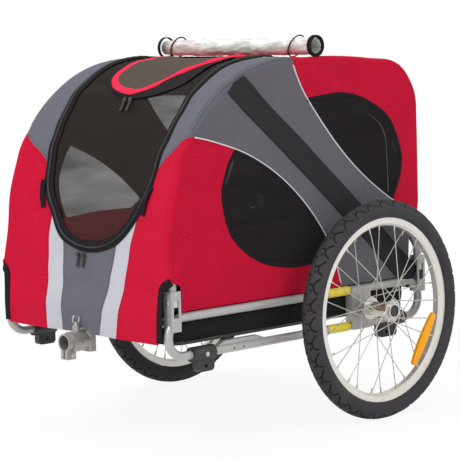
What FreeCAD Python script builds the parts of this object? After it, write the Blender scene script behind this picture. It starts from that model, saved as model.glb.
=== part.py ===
"""A two-wheeled bicycle trailer with a fabric cabin for a dog.

Millimetres. The towing end faces -Y, +Z is up, and the origin is on the ground below the middle of
the trailer. The trailer is the same on both sides, so most pieces are made once on the +X side and
mirrored. Places along Y are given as a reach ahead of or behind the axle.
"""
import FreeCAD
import Part
import math
import os

Vector = FreeCAD.Vector

# Wheels
wheel_gap = 65.5
tyre_radius = 249.0
tyre_section_radius = 23.0
tyre_bead_width = 18.0
rim_edge_radius = 209.0
rim_width = 25.0
rim_depth = 18.0
rim_wall = 2.5
rim_well_depth = 8.0
rim_bed_width = 13.0
spoke_count = 28
spoke_radius = 1.1
spoke_sides = 6
spoke_cross_share = 0.72
hub_flange_span = 65.0
hub_flange_radius = 26.0
hub_flange_wall = 3.2
hub_barrel_radius = 16.5
hub_waist_radius = 14.5
hub_inner_reach = 43.0
hub_outer_reach = 39.0
hub_cap_radius = 17.0
hub_cap_wall = 3.2
bearing_radius = 13.0
bearing_width = 9.0
axle_radius = 6.0
axle_collar_radius = 9.0
axle_bore_depth = 24.0
button_radius = 11.5
button_height = 7.0
button_stem_radius = 3.3
button_stem_length = 15.0
button_travel = 4.0
reflector_length = 132.0
reflector_width = 24.0
reflector_end_share = 0.55
reflector_thickness = 7.0
reflector_reach = 147.0
reflector_angle = -33.5

# Side loops of bent tube
tube_radius = 9.5
frame_half_width = 270.0
loop_front_reach = 589.0
loop_rear_reach = 224.0
upper_rail_z = 289.0
lower_rail_z = 207.0
cross_tube_share = 0.72
rail_hole_radius = 2.4
rail_hole_reach = 399.0
rail_hole_pitch = 27.0
rail_band_length = 70.0
rail_band_wall = 0.8
floor_rest_gap = 10.0
floor_rest_length = 150.0
floor_rest_ramp = 26.0
floor_rest_width = 12.0

# Axle plates
plate_length = 62.0
plate_wall = 5.0
plate_margin = 8.0
plate_corner = 6.0
plate_flange_wall = 3.0
plate_flange_depth = 16.0
plate_boss_radius = 15.0
plate_boss_length = 8.0

# Hoop brackets, with a front pair and a rear pair
bracket_front_reach = 566.5
bracket_rear_reach = 213.5
bracket_length = 27.0
bracket_wall = 2.5
bracket_foot_z = 262.0
bracket_top_z = 347.0
bracket_window_foot_z = 291.0
bracket_window_top_z = 329.0
bracket_window_share = 0.52
stop_block_height = 17.0
stop_block_length = 20.0
rivet_z = 321.0
rivet_head_radius = 4.5
rivet_head_height = 2.0
rivet_shank_radius = 2.4
rivet_shank_length = 8.0
pivot_z = 340.0
pivot_pin_radius = 3.0

# Folding hoops
hoop_neck_z = 372.0
hoop_shoulder_z = 438.0
front_hoop_inset = 19.0
rear_hoop_inset = 39.0
hoop_crest_share = 0.25
hoop_neck_bend = 45.0
front_hoop_brow_bend = 150.0
hoop_corner_bend = 42.0
rear_hoop_rear_bend = 70.0
hoop_inset = 17.0
rear_hoop_crossbar_drop = 22.0

# Cabin fabric
cabin_front_reach = 593.0
cabin_rear_reach = 212.0
cabin_foot_z = 233.0
cabin_height = 590.0
cabin_side_inset = 2.0
cloth = 2.5
trim_cloth = 2.0
side_foot_gap = 0.65
front_foot_inset = 9.0
corner_notch_z = 428.0
corner_notch_length = 36.0
profile_shares = (
    (0.0, 0.0),
    (0.0186, 0.334),
    (0.0845, 0.690),
    (0.217, 0.880),
    (0.472, 0.988),
    (0.662, 1.0),
    (0.876, 0.980),
    (0.960, 0.924),
    (0.9938, 0.817),
    (0.999, 0.409),
    (1.0, 0.0),
)
lower_piping_shares = ((0.099, 0.725), (0.437, 0.548), (0.675, 0.120))
rear_piping_shares = ((0.476, 0.988), (0.657, 0.653), (0.887, 0.426))
piping_width = 5.0
front_window_shares = ((0.267, 0.672), (0.210, 0.513), (0.239, 0.367), (0.327, 0.271), (0.438, 0.229),
                       (0.538, 0.226), (0.640, 0.260))
rear_window_shares = ((0.535, 0.835), (0.650, 0.852), (0.774, 0.823), (0.880, 0.732), (0.917, 0.606),
                      (0.911, 0.513), (0.883, 0.443))
side_band_shares = ((0.266, 0.902), (0.960, 0.119))
side_band_width = 57.0
strip_foot_half_widths = (66.0, 118.0)
strip_top_half_widths = (89.0, 144.0)
strip_top_z = 490.0
window_radius = 183.0
window_centre_z = 594.0
window_top_half_width = 206.0
window_binding_width = 30.0
brow_seam_window_z = 606.0
brow_seam_ridge_z = 665.0
mesh_end_reach = 190.0
flap_half_width = 118.0
flap_front_reach = 425.0
flap_rear_reach = 142.0
flap_corner = 84.0
door_margin = 83.0
door_foot_z = 330.0
door_top_z = 690.0
door_corner = 80.0
door_slot = 0.3
rear_foot_inset = 45.0
strap_half_widths = (160.0, 176.0)
strap_foot_z = 500.0
strap_top_z = 560.0
pull_width = 8.0
pull_gap = 9.0
pull_length = 24.0
pull_top_z = 407.0
flap_pull_length = 26.0

# Rolled rain cover
roll_reach = 111.0
roll_radius = 22.5
roll_length = 516.0
roll_turns = 3
roll_pitch = 5.0
roll_film = 3.4
roll_band_width = 20.0
roll_band_wall = 2.2
roll_loop_share = 0.74
roll_loop_radius = 1.2

# Floor
tub_foot_z = 225.0
tub_rise = 8.0
tub_gap = 5.0
tub_wall = 2.5
tub_corner = 30.0
floor_board = 8.0

# Hitch receiver
hitch_reach = 641.0
hitch_z = 219.0
hitch_bore_radius = 16.0
hitch_barrel_radius = 22.5
hitch_barrel_length = 54.0
hitch_lip_radius = 19.5
hitch_lip_length = 13.0
hitch_slit = 4.0
hitch_room = 1.5
hitch_ear_width = 9.0
hitch_ear_drop = 17.0
hitch_ear_length = 24.0
hitch_bolt_radius = 3.0
hitch_bolt_head_radius = 5.2
hitch_bolt_head_height = 4.0
hitch_block_width = 44.0
hitch_block_drop = 24.0
hitch_block_corner = 5.0
hitch_detent_radius = 2.2
lock_reach = 606.0
lock_boss_radius = 8.0
lock_boss_height = 12.0
lock_pin_radius = 4.0
lock_pin_top = 7.0
lock_travel = 8.0
lock_ring_radius = 9.0
lock_ring_wire = 1.4
ring_sides = 6
ring_start_share = 0.5

# Clamps on the lower rails, each with a collar and a lug
front_collar_reach = 518.0
front_lug_reach = 506.0
rear_collar_reach = -122.0
rear_lug_reach = -68.0
collar_length = 62.0
rear_collar_length = 34.0
collar_radius = 16.0
lug_length = 48.0
rear_lug_length = 60.0
lug_width = 17.0
lug_foot_z = 168.0
lug_corner = 9.0
lug_hole_radius = 4.1
lug_hole_z = 180.0
lug_hole_setback = 24.0
clamp_bolt_radius = 5.0
clamp_bolt_height = 4.0
clamp_bolt_shank_radius = 2.5

# Clearances and cutting overrun
seat = 0.3
sliding = 0.05
pressed = 0.02
overrun = 10.0
along_share = 0.99

axle_y = (hitch_reach - tyre_radius) / 2
axle_z = tyre_radius
cabin_front_y = axle_y - cabin_front_reach
cabin_length = cabin_front_reach + cabin_rear_reach
cabin_top_z = cabin_foot_z + cabin_height
loop_bend = (upper_rail_z - lower_rail_z) / 2
loop_middle_z = (upper_rail_z + lower_rail_z) / 2
bracket_half_width = tube_radius + seat + bracket_wall
loop_outer_x = frame_half_width + tube_radius
loop_inner_x = frame_half_width - tube_radius
wheel_x = loop_outer_x + wheel_gap
cabin_half_width = frame_half_width - cabin_side_inset
front_hoop_half_width = frame_half_width - front_hoop_inset
rear_hoop_half_width = frame_half_width - rear_hoop_inset
front_foot_half_width = frame_half_width - front_foot_inset
door_half_width = cabin_half_width - door_margin
rear_foot_half_width = frame_half_width - rear_foot_inset
loop_front_y = axle_y - loop_front_reach + tube_radius
loop_rear_y = axle_y + loop_rear_reach - tube_radius
tub_half_width = loop_inner_x - rail_band_wall - sliding - seat
tub_top_z = upper_rail_z + tub_rise
side_foot_z = upper_rail_z + tube_radius + sliding + rail_band_wall + side_foot_gap
front_pivot_y = axle_y - bracket_front_reach
rear_pivot_y = axle_y + bracket_rear_reach
plate_outer_x = loop_outer_x + seat + plate_wall
boss_end_x = plate_outer_x + plate_boss_length
hub_inner_x = wheel_x - hub_inner_reach
hub_outer_x = wheel_x + hub_outer_reach
hitch_front_y = axle_y - hitch_reach
hitch_block_y = hitch_front_y + hitch_barrel_length
roof_split_y = axle_y - mesh_end_reach

X = Vector(1, 0, 0)
Y = Vector(0, 1, 0)
Z = Vector(0, 0, 1)
CENTRE = Vector(0, 0, 0)


def box(low, high):
    """Block between two opposite corners."""
    return Part.makeBox(high[0] - low[0], high[1] - low[1], high[2] - low[2], Vector(*low))


def rod(radius, start, end):
    """Round bar from one point to another."""
    run = end - start
    return Part.makeCylinder(radius, run.Length, start, run)


def chain(*runs):
    """Wire of straight runs, given by two points, and arcs, given by three."""
    edges = []
    for run in runs:
        curve = Part.LineSegment(*run) if len(run) == 2 else Part.Arc(*run)
        edges.append(curve.toShape())
    return Part.Wire(edges)


def polygon(points):
    """Flat face with straight sides."""
    return Part.Face(Part.makePolygon(list(points) + [points[0]]))


def joined(pieces):
    """One solid from pieces that meet."""
    return pieces[0].multiFuse(pieces[1:]).removeSplitter()


def group(*shapes):
    """Several separate solids that are kept as one node."""
    return Part.makeCompound([solid for shape in shapes for solid in shape.Solids])


def mirrored(shape):
    """The same piece on the -X side."""
    return shape.mirror(CENTRE, X)


def both_sides(shape):
    """A piece and its mirror image, as two solids."""
    return group(shape, mirrored(shape))


def rounded_upright(solid, radius, axis):
    """A block with the edges along one axis rounded."""
    edges = [e for e in solid.Edges if abs(e.tangentAt(e.FirstParameter).dot(axis)) > along_share]
    return solid.makeFillet(radius, edges)


def bent_tube(points, bends, radius, closed=False):
    """Round bar along straight runs, with a tangent bend at each inner point."""
    count = len(points)
    leave = list(points)
    reach = list(points)
    pieces = []
    for i in range(count) if closed else range(1, count - 1):
        back = (points[i - 1] - points[i]).normalize()
        ahead = (points[(i + 1) % count] - points[i]).normalize()
        half = back.getAngle(ahead) / 2
        reach[i] = points[i] + back * (bends[i] / math.tan(half))
        leave[i] = points[i] + ahead * (bends[i] / math.tan(half))
        middle = points[i] + (back + ahead).normalize() * (bends[i] / math.sin(half))
        section = Part.Face(Part.Wire(Part.Circle(reach[i], back, radius).toShape()))
        axis = (reach[i] - middle).cross(leave[i] - middle)
        pieces.append(section.revolve(middle, axis, 180 - math.degrees(2 * half)))
    for i in range(count if closed else count - 1):
        pieces.append(rod(radius, leave[i], reach[(i + 1) % count]))
    return joined(pieces)


def turned(points, x):
    """Ring about the X axis through the wheel centre, from (offset along X, radius) points."""
    face = polygon([Vector(x + across, axle_y, axle_z + out) for across, out in points])
    return face.revolve(Vector(0, axle_y, axle_z), X, 360)


def tyre():
    """Tyre with a round section whose bead sits in the rim's well."""
    ring_radius = tyre_radius - tyre_section_radius
    seat_radius = rim_edge_radius + seat
    bead = tyre_bead_width / 2
    well = rim_edge_radius - rim_well_depth + seat
    flank = math.sqrt(tyre_section_radius ** 2 - (ring_radius - seat_radius) ** 2)

    def at(across, out):
        return Vector(wheel_x + across, axle_y, axle_z + out)

    outline = chain((at(bead, well), at(bead, seat_radius)), (at(bead, seat_radius), at(flank, seat_radius)),
                    (at(flank, seat_radius), at(0, tyre_radius), at(-flank, seat_radius)),
                    (at(-flank, seat_radius), at(-bead, seat_radius)),
                    (at(-bead, seat_radius), at(-bead, well)), (at(-bead, well), at(bead, well)))
    return Part.Face(outline).revolve(Vector(0, axle_y, axle_z), X, 360)


def rim():
    """Rim with a well for the tyre and a bed for the spokes."""
    edge = rim_width / 2
    inner = edge - rim_wall
    bed = rim_bed_width / 2
    well = rim_edge_radius - rim_well_depth
    foot = rim_edge_radius - rim_depth
    shoulder = (well + foot) / 2
    return turned(((edge, rim_edge_radius), (edge, shoulder), (bed, foot), (-bed, foot), (-edge, shoulder),
                   (-edge, rim_edge_radius), (-inner, rim_edge_radius), (-inner, well), (inner, well),
                   (inner, rim_edge_radius)), wheel_x)


def spokes():
    """Crossed spokes from the two hub flanges to the rim's bed."""
    flange = hub_flange_span / 2 + hub_flange_wall / 2 + spoke_radius + 2 * seat
    hole = hub_flange_radius - spoke_radius
    bed = rim_edge_radius - rim_depth - seat
    bed_offset = rim_bed_width / 4
    step = 360 / spoke_count
    wires = []
    for i in range(spoke_count):
        side = 1 if i % 2 == 0 else -1
        turn = 1 if i % 4 < 2 else -1
        rim_angle = math.radians(i * step)
        hub_angle = rim_angle + turn * spoke_cross_share * math.pi / 2
        lane = flange + (turn + 1) * (spoke_radius + seat / 2)
        foot = Vector(wheel_x + side * lane, axle_y + hole * math.cos(hub_angle),
                      axle_z + hole * math.sin(hub_angle))
        head = Vector(wheel_x + side * (bed_offset + (turn + 1) * spoke_radius),
                      axle_y + bed * math.cos(rim_angle),
                      axle_z + bed * math.sin(rim_angle))
        wires.append(wire_spoke(foot, head))
    return group(*wires)


def wire_spoke(foot, head):
    """One spoke as a slim six-sided wire."""
    run = (head - foot).normalize()
    across = run.cross(X).normalize()
    up = run.cross(across)
    corners = []
    for i in range(spoke_sides):
        angle = 2 * math.pi * i / spoke_sides
        corners.append(foot + across * (spoke_radius * math.cos(angle))
                       + up * (spoke_radius * math.sin(angle)))
    return polygon(corners).extrude(head - foot)


def hub():
    """Hub shell with two flanges, a waist, bearing pockets and an open cap at its outer end."""
    flange = hub_flange_span / 2
    half_wall = hub_flange_wall / 2
    pocket = bearing_radius + pressed
    bore = axle_radius + bearing_width / 4
    cap_bore = hub_cap_radius - hub_cap_wall
    outer_pocket = hub_outer_reach - button_height - button_travel - seat
    return turned(((-hub_inner_reach, pocket), (-hub_inner_reach, hub_barrel_radius),
                   (-flange - half_wall, hub_barrel_radius), (-flange - half_wall, hub_flange_radius),
                   (-flange + half_wall, hub_flange_radius), (-flange + half_wall, hub_barrel_radius),
                   (0, hub_waist_radius + hub_flange_wall / 2),
                   (flange - half_wall, hub_barrel_radius), (flange - half_wall, hub_flange_radius),
                   (flange + half_wall, hub_flange_radius), (flange + half_wall, hub_cap_radius),
                   (hub_outer_reach, hub_cap_radius), (hub_outer_reach, cap_bore),
                   (outer_pocket, cap_bore), (outer_pocket, pocket),
                   (outer_pocket - bearing_width, pocket), (outer_pocket - bearing_width, bore),
                   (-hub_inner_reach + bearing_width, bore), (-hub_inner_reach + bearing_width, pocket)),
                   wheel_x)


def bearings():
    """The two ball bearings in the hub, as closed rings."""
    outer_pocket = hub_outer_reach - button_height - button_travel - seat
    rings = []
    for foot in (-hub_inner_reach, outer_pocket - bearing_width):
        ring = ((foot, axle_radius + sliding), (foot, bearing_radius), (foot + bearing_width, bearing_radius),
                (foot + bearing_width, axle_radius + sliding))
        rings.append(turned(ring, wheel_x))
    return group(*rings)


def reflector():
    """Long lens-shaped reflector clipped to the outer spokes, square to the wheel's radius."""
    spread = hub_flange_span / 2 / (rim_edge_radius - rim_depth - hub_flange_radius)
    lift = (spread * (rim_edge_radius - rim_depth - reflector_reach)
            + 3 * spoke_radius + rim_bed_width / 4 + seat / 2)
    foot = wheel_x + lift
    half = reflector_width / 2
    end = half * reflector_end_share
    top = reflector_length / 2
    outline = chain((Vector(foot, -end, -top), Vector(foot, -half, 0), Vector(foot, -end, top)),
                    (Vector(foot, -end, top), Vector(foot, end, top)),
                    (Vector(foot, end, top), Vector(foot, half, 0), Vector(foot, end, -top)),
                    (Vector(foot, end, -top), Vector(foot, -end, -top)))
    bar = rounded_upright(Part.Face(outline).extrude(X * reflector_thickness), end / 2, X)
    bar.translate(Vector(0, reflector_reach, 0))
    bar.rotate(CENTRE, X, reflector_angle)
    bar.translate(Vector(0, axle_y, axle_z))
    return bar


def stub_axle():
    """Axle from the plate's boss to the hub cap, with a collar and a bore for the release button."""
    end = hub_outer_x - button_height - button_travel - seat
    line = Vector(0, axle_y, axle_z)
    shaft = rod(axle_radius, line + X * (loop_outer_x + seat), line + X * end)
    collar = rod(axle_collar_radius, line + X * (boss_end_x + seat), line + X * (hub_inner_x - seat))
    bore = rod(button_stem_radius + sliding, line + X * (end - axle_bore_depth), line + X * (end + overrun))
    return joined([shaft, collar]).cut(bore)


def release_button():
    """Push button in the hub cap, with a stem in the axle's bore."""
    line = Vector(0, axle_y, axle_z)
    end = hub_outer_x
    head = rod(button_radius, line + X * (end - button_height), line + X * end)
    rim_edges = [e for e in head.Edges if e.BoundBox.XMin > end - sliding]
    head = head.makeChamfer(button_height / 4, rim_edges)
    stem_start = end - button_height - button_travel - seat - button_stem_length
    stem = rod(button_stem_radius, line + X * stem_start, line + X * (end - button_height / 2))
    return joined([head, stem])


def loop_tube(radius):
    """Closed loop of round bar with half-round ends."""
    x = frame_half_width
    corners = [Vector(x, loop_front_y, upper_rail_z), Vector(x, loop_rear_y, upper_rail_z),
               Vector(x, loop_rear_y, lower_rail_z), Vector(x, loop_front_y, lower_rail_z)]
    return bent_tube(corners, [loop_bend - seat] * len(corners), radius, closed=True)


def side_loop():
    """Side loop with two holes in its lower rail."""
    x = frame_half_width
    loop = loop_tube(tube_radius)
    for i in range(2):
        y = axle_y - rail_hole_reach + i * rail_hole_pitch
        loop = loop.cut(rod(rail_hole_radius, Vector(x, y, lower_rail_z),
                            Vector(loop_outer_x + overrun, y, lower_rail_z)))
    return loop


def cross_tube_place(end_y, toward):
    """Where a cross tube meets a loop's upper bend; toward is +1 at the front and -1 at the rear."""
    lift = loop_bend * cross_tube_share
    inward = loop_bend - math.sqrt(loop_bend ** 2 - lift ** 2)
    return end_y + toward * inward, loop_middle_z + lift


def cross_tube(end_y, toward):
    """Straight tube across the trailer, between the brackets on the two loops."""
    y, z = cross_tube_place(end_y, toward)
    half = frame_half_width - bracket_half_width - sliding
    return rod(tube_radius, Vector(-half, y, z), Vector(half, y, z))


def rail_bands():
    """Plain sleeves on both rails, just ahead of the axle plate."""
    rear = axle_y - plate_length / 2 - seat
    sleeves = []
    for z in (upper_rail_z, lower_rail_z):
        start = Vector(frame_half_width, rear - rail_band_length, z)
        end = Vector(frame_half_width, rear, z)
        sleeve = rod(tube_radius + sliding + rail_band_wall, start, end)
        sleeves.append(sleeve.cut(rod(tube_radius + sliding, start, end)))
    return group(*[both_sides(sleeve) for sleeve in sleeves])


def floor_rest():
    """Strip on the lower rail that lifts the tub's edge."""
    foot = lower_rail_z + math.sqrt(tube_radius ** 2 - (floor_rest_width / 2) ** 2) + seat
    front = axle_y - front_collar_reach + collar_length + floor_rest_gap
    rear = front + floor_rest_length
    top = tub_foot_z - seat
    x = frame_half_width - tube_radius
    side = polygon([Vector(x, front, foot), Vector(x, front + floor_rest_ramp, top),
                    Vector(x, rear - floor_rest_ramp, top), Vector(x, rear, foot)])
    bar = side.extrude(X * floor_rest_width)
    rail = rod(tube_radius + seat, Vector(frame_half_width, front - overrun, lower_rail_z),
               Vector(frame_half_width, rear + overrun, lower_rail_z))
    return bar.cut(rail)


def axle_plate():
    """Plate on the rails' outer side, with flanges between the rails and a boss for the axle."""
    low = lower_rail_z - plate_margin
    high = upper_rail_z + plate_margin
    front = axle_y - plate_length / 2
    rear = axle_y + plate_length / 2
    inner_x = loop_outer_x + seat
    plate = rounded_upright(box((inner_x, front, low), (plate_outer_x, rear, high)), plate_corner, X)
    flange_low = lower_rail_z + tube_radius + seat
    flange_high = upper_rail_z - tube_radius - seat
    flanges = []
    for start in (front, rear - plate_flange_wall):
        flanges.append(box((inner_x - plate_flange_depth, start, flange_low),
                           (inner_x + plate_wall / 2, start + plate_flange_wall, flange_high)))
    line = Vector(0, axle_y, axle_z)
    boss = rod(plate_boss_radius, line + X * inner_x, line + X * boss_end_x)
    bore = rod(axle_radius + pressed, line + X * (inner_x - overrun), line + X * (boss_end_x + overrun))
    return joined([plate, boss] + flanges).cut(bore)


def bracket(pivot_y, outward):
    """Channel that stands on a loop's end; outward is -1 at the front and +1 at the rear."""
    half = bracket_half_width
    inside = half - bracket_wall
    x = frame_half_width
    back = pivot_y + outward * bracket_length / 2
    open_side = pivot_y - outward * bracket_length / 2
    low, high = sorted((back, open_side))
    shell = box((x - half, low, bracket_foot_z), (x + half, high, bracket_top_z))
    hollow_back = back - outward * bracket_wall
    hollow_open = open_side - outward * overrun
    low, high = sorted((hollow_back, hollow_open))
    hollow = box((x - inside, low, bracket_foot_z - overrun), (x + inside, high, bracket_top_z + overrun))
    opening = bracket_length * bracket_window_share / 2
    window = box((x, pivot_y - opening, bracket_window_foot_z),
                 (x + half + overrun, pivot_y + opening, bracket_window_top_z))
    pin = rod(pivot_pin_radius + pressed, Vector(x - half - overrun, pivot_y, pivot_z),
              Vector(x + half + overrun, pivot_y, pivot_z))
    rivet = rod(rivet_shank_radius + pressed, Vector(x, back - outward * overrun, rivet_z),
                Vector(x, back + outward * overrun, rivet_z))
    return shell.cut(hollow).cut(window).cut(pin).cut(rivet).cut(loop_tube(tube_radius + sliding))


def stop_block(pivot_y, outward):
    """Block under the hoop's foot, held by the rivet."""
    back = pivot_y + outward * (bracket_length / 2 - bracket_wall)
    low, high = sorted((back, back - outward * stop_block_length))
    top = pivot_z - tube_radius - seat
    x = frame_half_width
    block = box((x - tube_radius, low, top - stop_block_height), (x + tube_radius, high, top))
    hole = rod(rivet_shank_radius + pressed, Vector(x, back + outward * overrun, rivet_z),
               Vector(x, back - outward * rivet_shank_length, rivet_z))
    return block.cut(hole)


def rivet(pivot_y, outward):
    """Flat-domed rivet through the bracket's end wall."""
    face = pivot_y + outward * bracket_length / 2
    x = frame_half_width
    head = rod(rivet_head_radius, Vector(x, face, rivet_z),
               Vector(x, face + outward * rivet_head_height, rivet_z))
    rim_edges = [e for e in head.Edges if abs(e.BoundBox.YMin - face - outward * rivet_head_height) < sliding]
    head = head.makeChamfer(rivet_head_height / 2, rim_edges)
    shank_end = face - outward * (bracket_wall + rivet_shank_length - seat)
    return joined([head, rod(rivet_shank_radius, Vector(x, face, rivet_z), Vector(x, shank_end, rivet_z))])


def pivot_pin(pivot_y):
    """Pin that a hoop's foot turns on."""
    half = bracket_half_width
    x = frame_half_width
    return rod(pivot_pin_radius, Vector(x - half, pivot_y, pivot_z), Vector(x + half, pivot_y, pivot_z))


def hoop_from(leg_points, leg_bends):
    """Whole hoop from its +X leg, ending at the crossbar's corner, with rounded feet on the pivots."""
    other = [Vector(-p.x, p.y, p.z) for p in reversed(leg_points)]
    tube = bent_tube(leg_points + other, leg_bends + leg_bends[::-1], tube_radius)
    foot = leg_points[0]
    feet = [Part.makeSphere(tube_radius, foot), Part.makeSphere(tube_radius, Vector(-foot.x, foot.y, foot.z))]
    hoop = joined([tube] + feet)
    reach = frame_half_width + tube_radius + overrun
    return hoop.cut(rod(pivot_pin_radius + sliding, Vector(-reach, foot.y, foot.z),
                        Vector(reach, foot.y, foot.z)))


def front_hoop():
    """Hoop that carries the cabin's front and brow."""
    knots = profile_knots(hoop_inset)
    foot = Vector(frame_half_width, front_pivot_y, pivot_z)
    shoulder = Vector(front_hoop_half_width, knots[1].y, hoop_shoulder_z)
    brow = knots[2] + (knots[2] - knots[1]) * (tube_radius / (knots[2] - knots[1]).Length * 2)
    crest = knots[3] + (knots[4] - knots[3]) * hoop_crest_share
    points = [foot, Vector(foot.x, foot.y, hoop_neck_z), shoulder,
              Vector(front_hoop_half_width, brow.y, brow.z), Vector(front_hoop_half_width, crest.y, crest.z)]
    return hoop_from(points, [0, hoop_neck_bend, hoop_neck_bend, front_hoop_brow_bend, hoop_corner_bend])


def rear_hoop():
    """Hoop that carries the cabin's rear end."""
    knots = profile_knots(hoop_inset)
    foot = Vector(frame_half_width, rear_pivot_y, pivot_z)
    shoulder = Vector(rear_hoop_half_width, knots[9].y, hoop_shoulder_z)
    corner = Vector(rear_hoop_half_width, knots[8].y, knots[8].z)
    crest = Vector(rear_hoop_half_width, knots[6].y, knots[6].z - rear_hoop_crossbar_drop)
    points = [foot, Vector(foot.x, foot.y, hoop_neck_z), shoulder, corner, crest]
    return hoop_from(points, [0, hoop_neck_bend, hoop_neck_bend, rear_hoop_rear_bend, hoop_corner_bend])


def profile_knots(inset):
    """Knots of the cabin's side profile, moved inwards square to the profile."""
    knots = [Vector(0, cabin_front_y + along * cabin_length, cabin_foot_z + up * cabin_height)
             for along, up in profile_shares]
    moved = []
    for i, knot in enumerate(knots):
        run = knots[min(i + 1, len(knots) - 1)] - knots[max(i - 1, 0)]
        moved.append(knot + Vector(0, run.z, -run.y).normalize() * inset)
    return moved


def profile_runs(inset, x):
    """The profile as arcs through its knots, in the plane at x."""
    knots = [knot + X * x for knot in profile_knots(inset)]
    return [(knots[i], knots[i + 1], knots[i + 2]) for i in range(0, len(knots) - 1, 2)]


def cabin_sheet(outer_inset, inner_inset, half_width):
    """Sheet that follows the profile over the front, roof and rear."""
    outer = profile_runs(outer_inset, -half_width)
    inner = profile_runs(inner_inset, -half_width)
    back = [tuple(reversed(run)) for run in reversed(inner)]
    outline = chain(*outer, (outer[-1][2], back[0][0]), *back, (back[-1][2], outer[0][0]))
    return Part.Face(outline).extrude(X * (2 * half_width))


def front_prism(points, start_y, end_y):
    """Prism along Y from an outline of (x, z) points."""
    return polygon([Vector(x, start_y, z) for x, z in points]).extrude(Y * (end_y - start_y))


def window_tool(margin):
    """Prism through the front window and the roof mesh, drawn in by a margin."""
    radius = window_radius - margin
    top = window_top_half_width - margin
    start = cabin_front_y - overrun

    def at(x, z):
        return Vector(x, start, z)

    high = cabin_top_z + overrun
    outline = chain((at(-radius, window_centre_z), at(0, window_centre_z - radius),
                     at(radius, window_centre_z)),
                    (at(radius, window_centre_z), at(top, high)), (at(top, high), at(-top, high)),
                    (at(-top, high), at(-radius, window_centre_z)))
    return Part.Face(outline).extrude(Y * (roof_split_y - start))


def strip_tool(inner_foot, outer_foot, inner_top, outer_top):
    """Prism for an upright panel of the cabin's front."""
    return front_prism([(inner_foot, cabin_foot_z - overrun), (outer_foot, cabin_foot_z - overrun),
                        (outer_top, strip_top_z), (inner_top, strip_top_z)], cabin_front_y - overrun,
                        roof_split_y)


def front_pieces():
    """Pieces of the cabin's front and brow, cut from one sheet."""
    sheet = cabin_sheet(0, cloth, cabin_half_width - cloth - seat)
    front = cabin_front_y - overrun
    wide = cabin_half_width + overrun
    ahead = sheet.common(box((-wide, front, 0), (wide, roof_split_y, cabin_top_z + overrun)))
    outer = window_tool(0)
    inner = window_tool(window_binding_width)
    binding = ahead.common(outer).cut(inner)
    mesh = ahead.common(inner)
    solid = ahead.cut(outer)
    brow = front_prism([(-wide, brow_seam_ridge_z), (-window_radius, brow_seam_window_z),
                        (window_radius, brow_seam_window_z),
                        (wide, brow_seam_ridge_z), (wide, cabin_top_z + overrun),
                        (-wide, cabin_top_z + overrun)],
                       front, roof_split_y)
    bands = solid.common(brow)
    lower = solid.cut(brow)
    inner_foot, outer_foot = strip_foot_half_widths
    inner_top, outer_top = strip_top_half_widths
    right_strip = strip_tool(inner_foot, outer_foot, inner_top, outer_top)
    barrel_axis = Vector(0, front, hitch_z)
    centre = lower.common(strip_tool(-inner_foot, inner_foot, -inner_top, inner_top))
    centre = centre.cut(rod(hitch_barrel_radius + hitch_room, barrel_axis, barrel_axis + Y * cabin_length))
    strips = group(lower.common(right_strip), lower.common(mirrored(right_strip)))
    corners = lower.cut(strip_tool(-outer_foot, outer_foot, -outer_top, outer_top))
    notch = box((front_foot_half_width, front, 0), (wide, roof_split_y, corner_notch_z))
    corners = corners.cut(notch).cut(mirrored(notch))
    return {"front_centre_panel": centre, "front_strips": strips, "front_corner_panels": corners,
            "window_binding": binding, "front_mesh": mesh, "roof_bands": bands}


def roof_and_rear_pieces():
    """Roof behind the mesh, and the rear panel with its door."""
    sheet = cabin_sheet(0, cloth, cabin_half_width - cloth - seat)
    wide = cabin_half_width + overrun
    rear = axle_y + cabin_rear_reach + overrun
    crown_end, _, corner, _, _ = profile_knots(0)[-5:]
    crown_end_y = crown_end.y
    corner_z = corner.z
    roof = sheet.common(box((-wide, roof_split_y, corner_z), (wide, rear, cabin_top_z + overrun)))
    back = sheet.common(box((-wide, crown_end_y, side_foot_z), (wide, rear, corner_z)))
    notch = box((rear_foot_half_width, crown_end_y, 0), (wide, rear, corner_notch_z))
    back = back.cut(notch).cut(mirrored(notch))

    def door_tool(margin):
        block = box((-door_half_width + margin, crown_end_y, door_foot_z + margin),
                    (door_half_width - margin, rear, door_top_z - margin))
        return rounded_upright(block, door_corner - margin, Y)

    return {"roof_rear_panel": roof, "rear_panel": back.cut(door_tool(0)),
            "rear_door": back.common(door_tool(door_slot))}


def side_point(share, x):
    """Point of the cabin's side from its shares of the cabin's length and height."""
    return Vector(x, cabin_front_y + share[0] * cabin_length, cabin_foot_z + share[1] * cabin_height)


def piping_disc(shares, inset, x, depth):
    """Disc bounded by a piping line, drawn in by an inset."""
    circle = Part.Circle(*[side_point(share, x) for share in shares])
    inner = Part.Circle(circle.Center, X, circle.Radius - inset)
    return Part.Face(Part.Wire(inner.toShape())).extrude(X * depth)


def window_blank(shares, far_share, x, depth):
    """Window outline of arcs, closed through a point beyond the piping that trims it."""
    points = [side_point(share, x) for share in shares]
    arcs = [(points[i], points[i + 1], points[i + 2]) for i in range(0, len(points) - 1, 2)]
    far = side_point(far_share, x)
    outline = chain(*arcs, (points[-1], far), (far, points[0]))
    return Part.Face(outline).extrude(X * depth)


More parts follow.
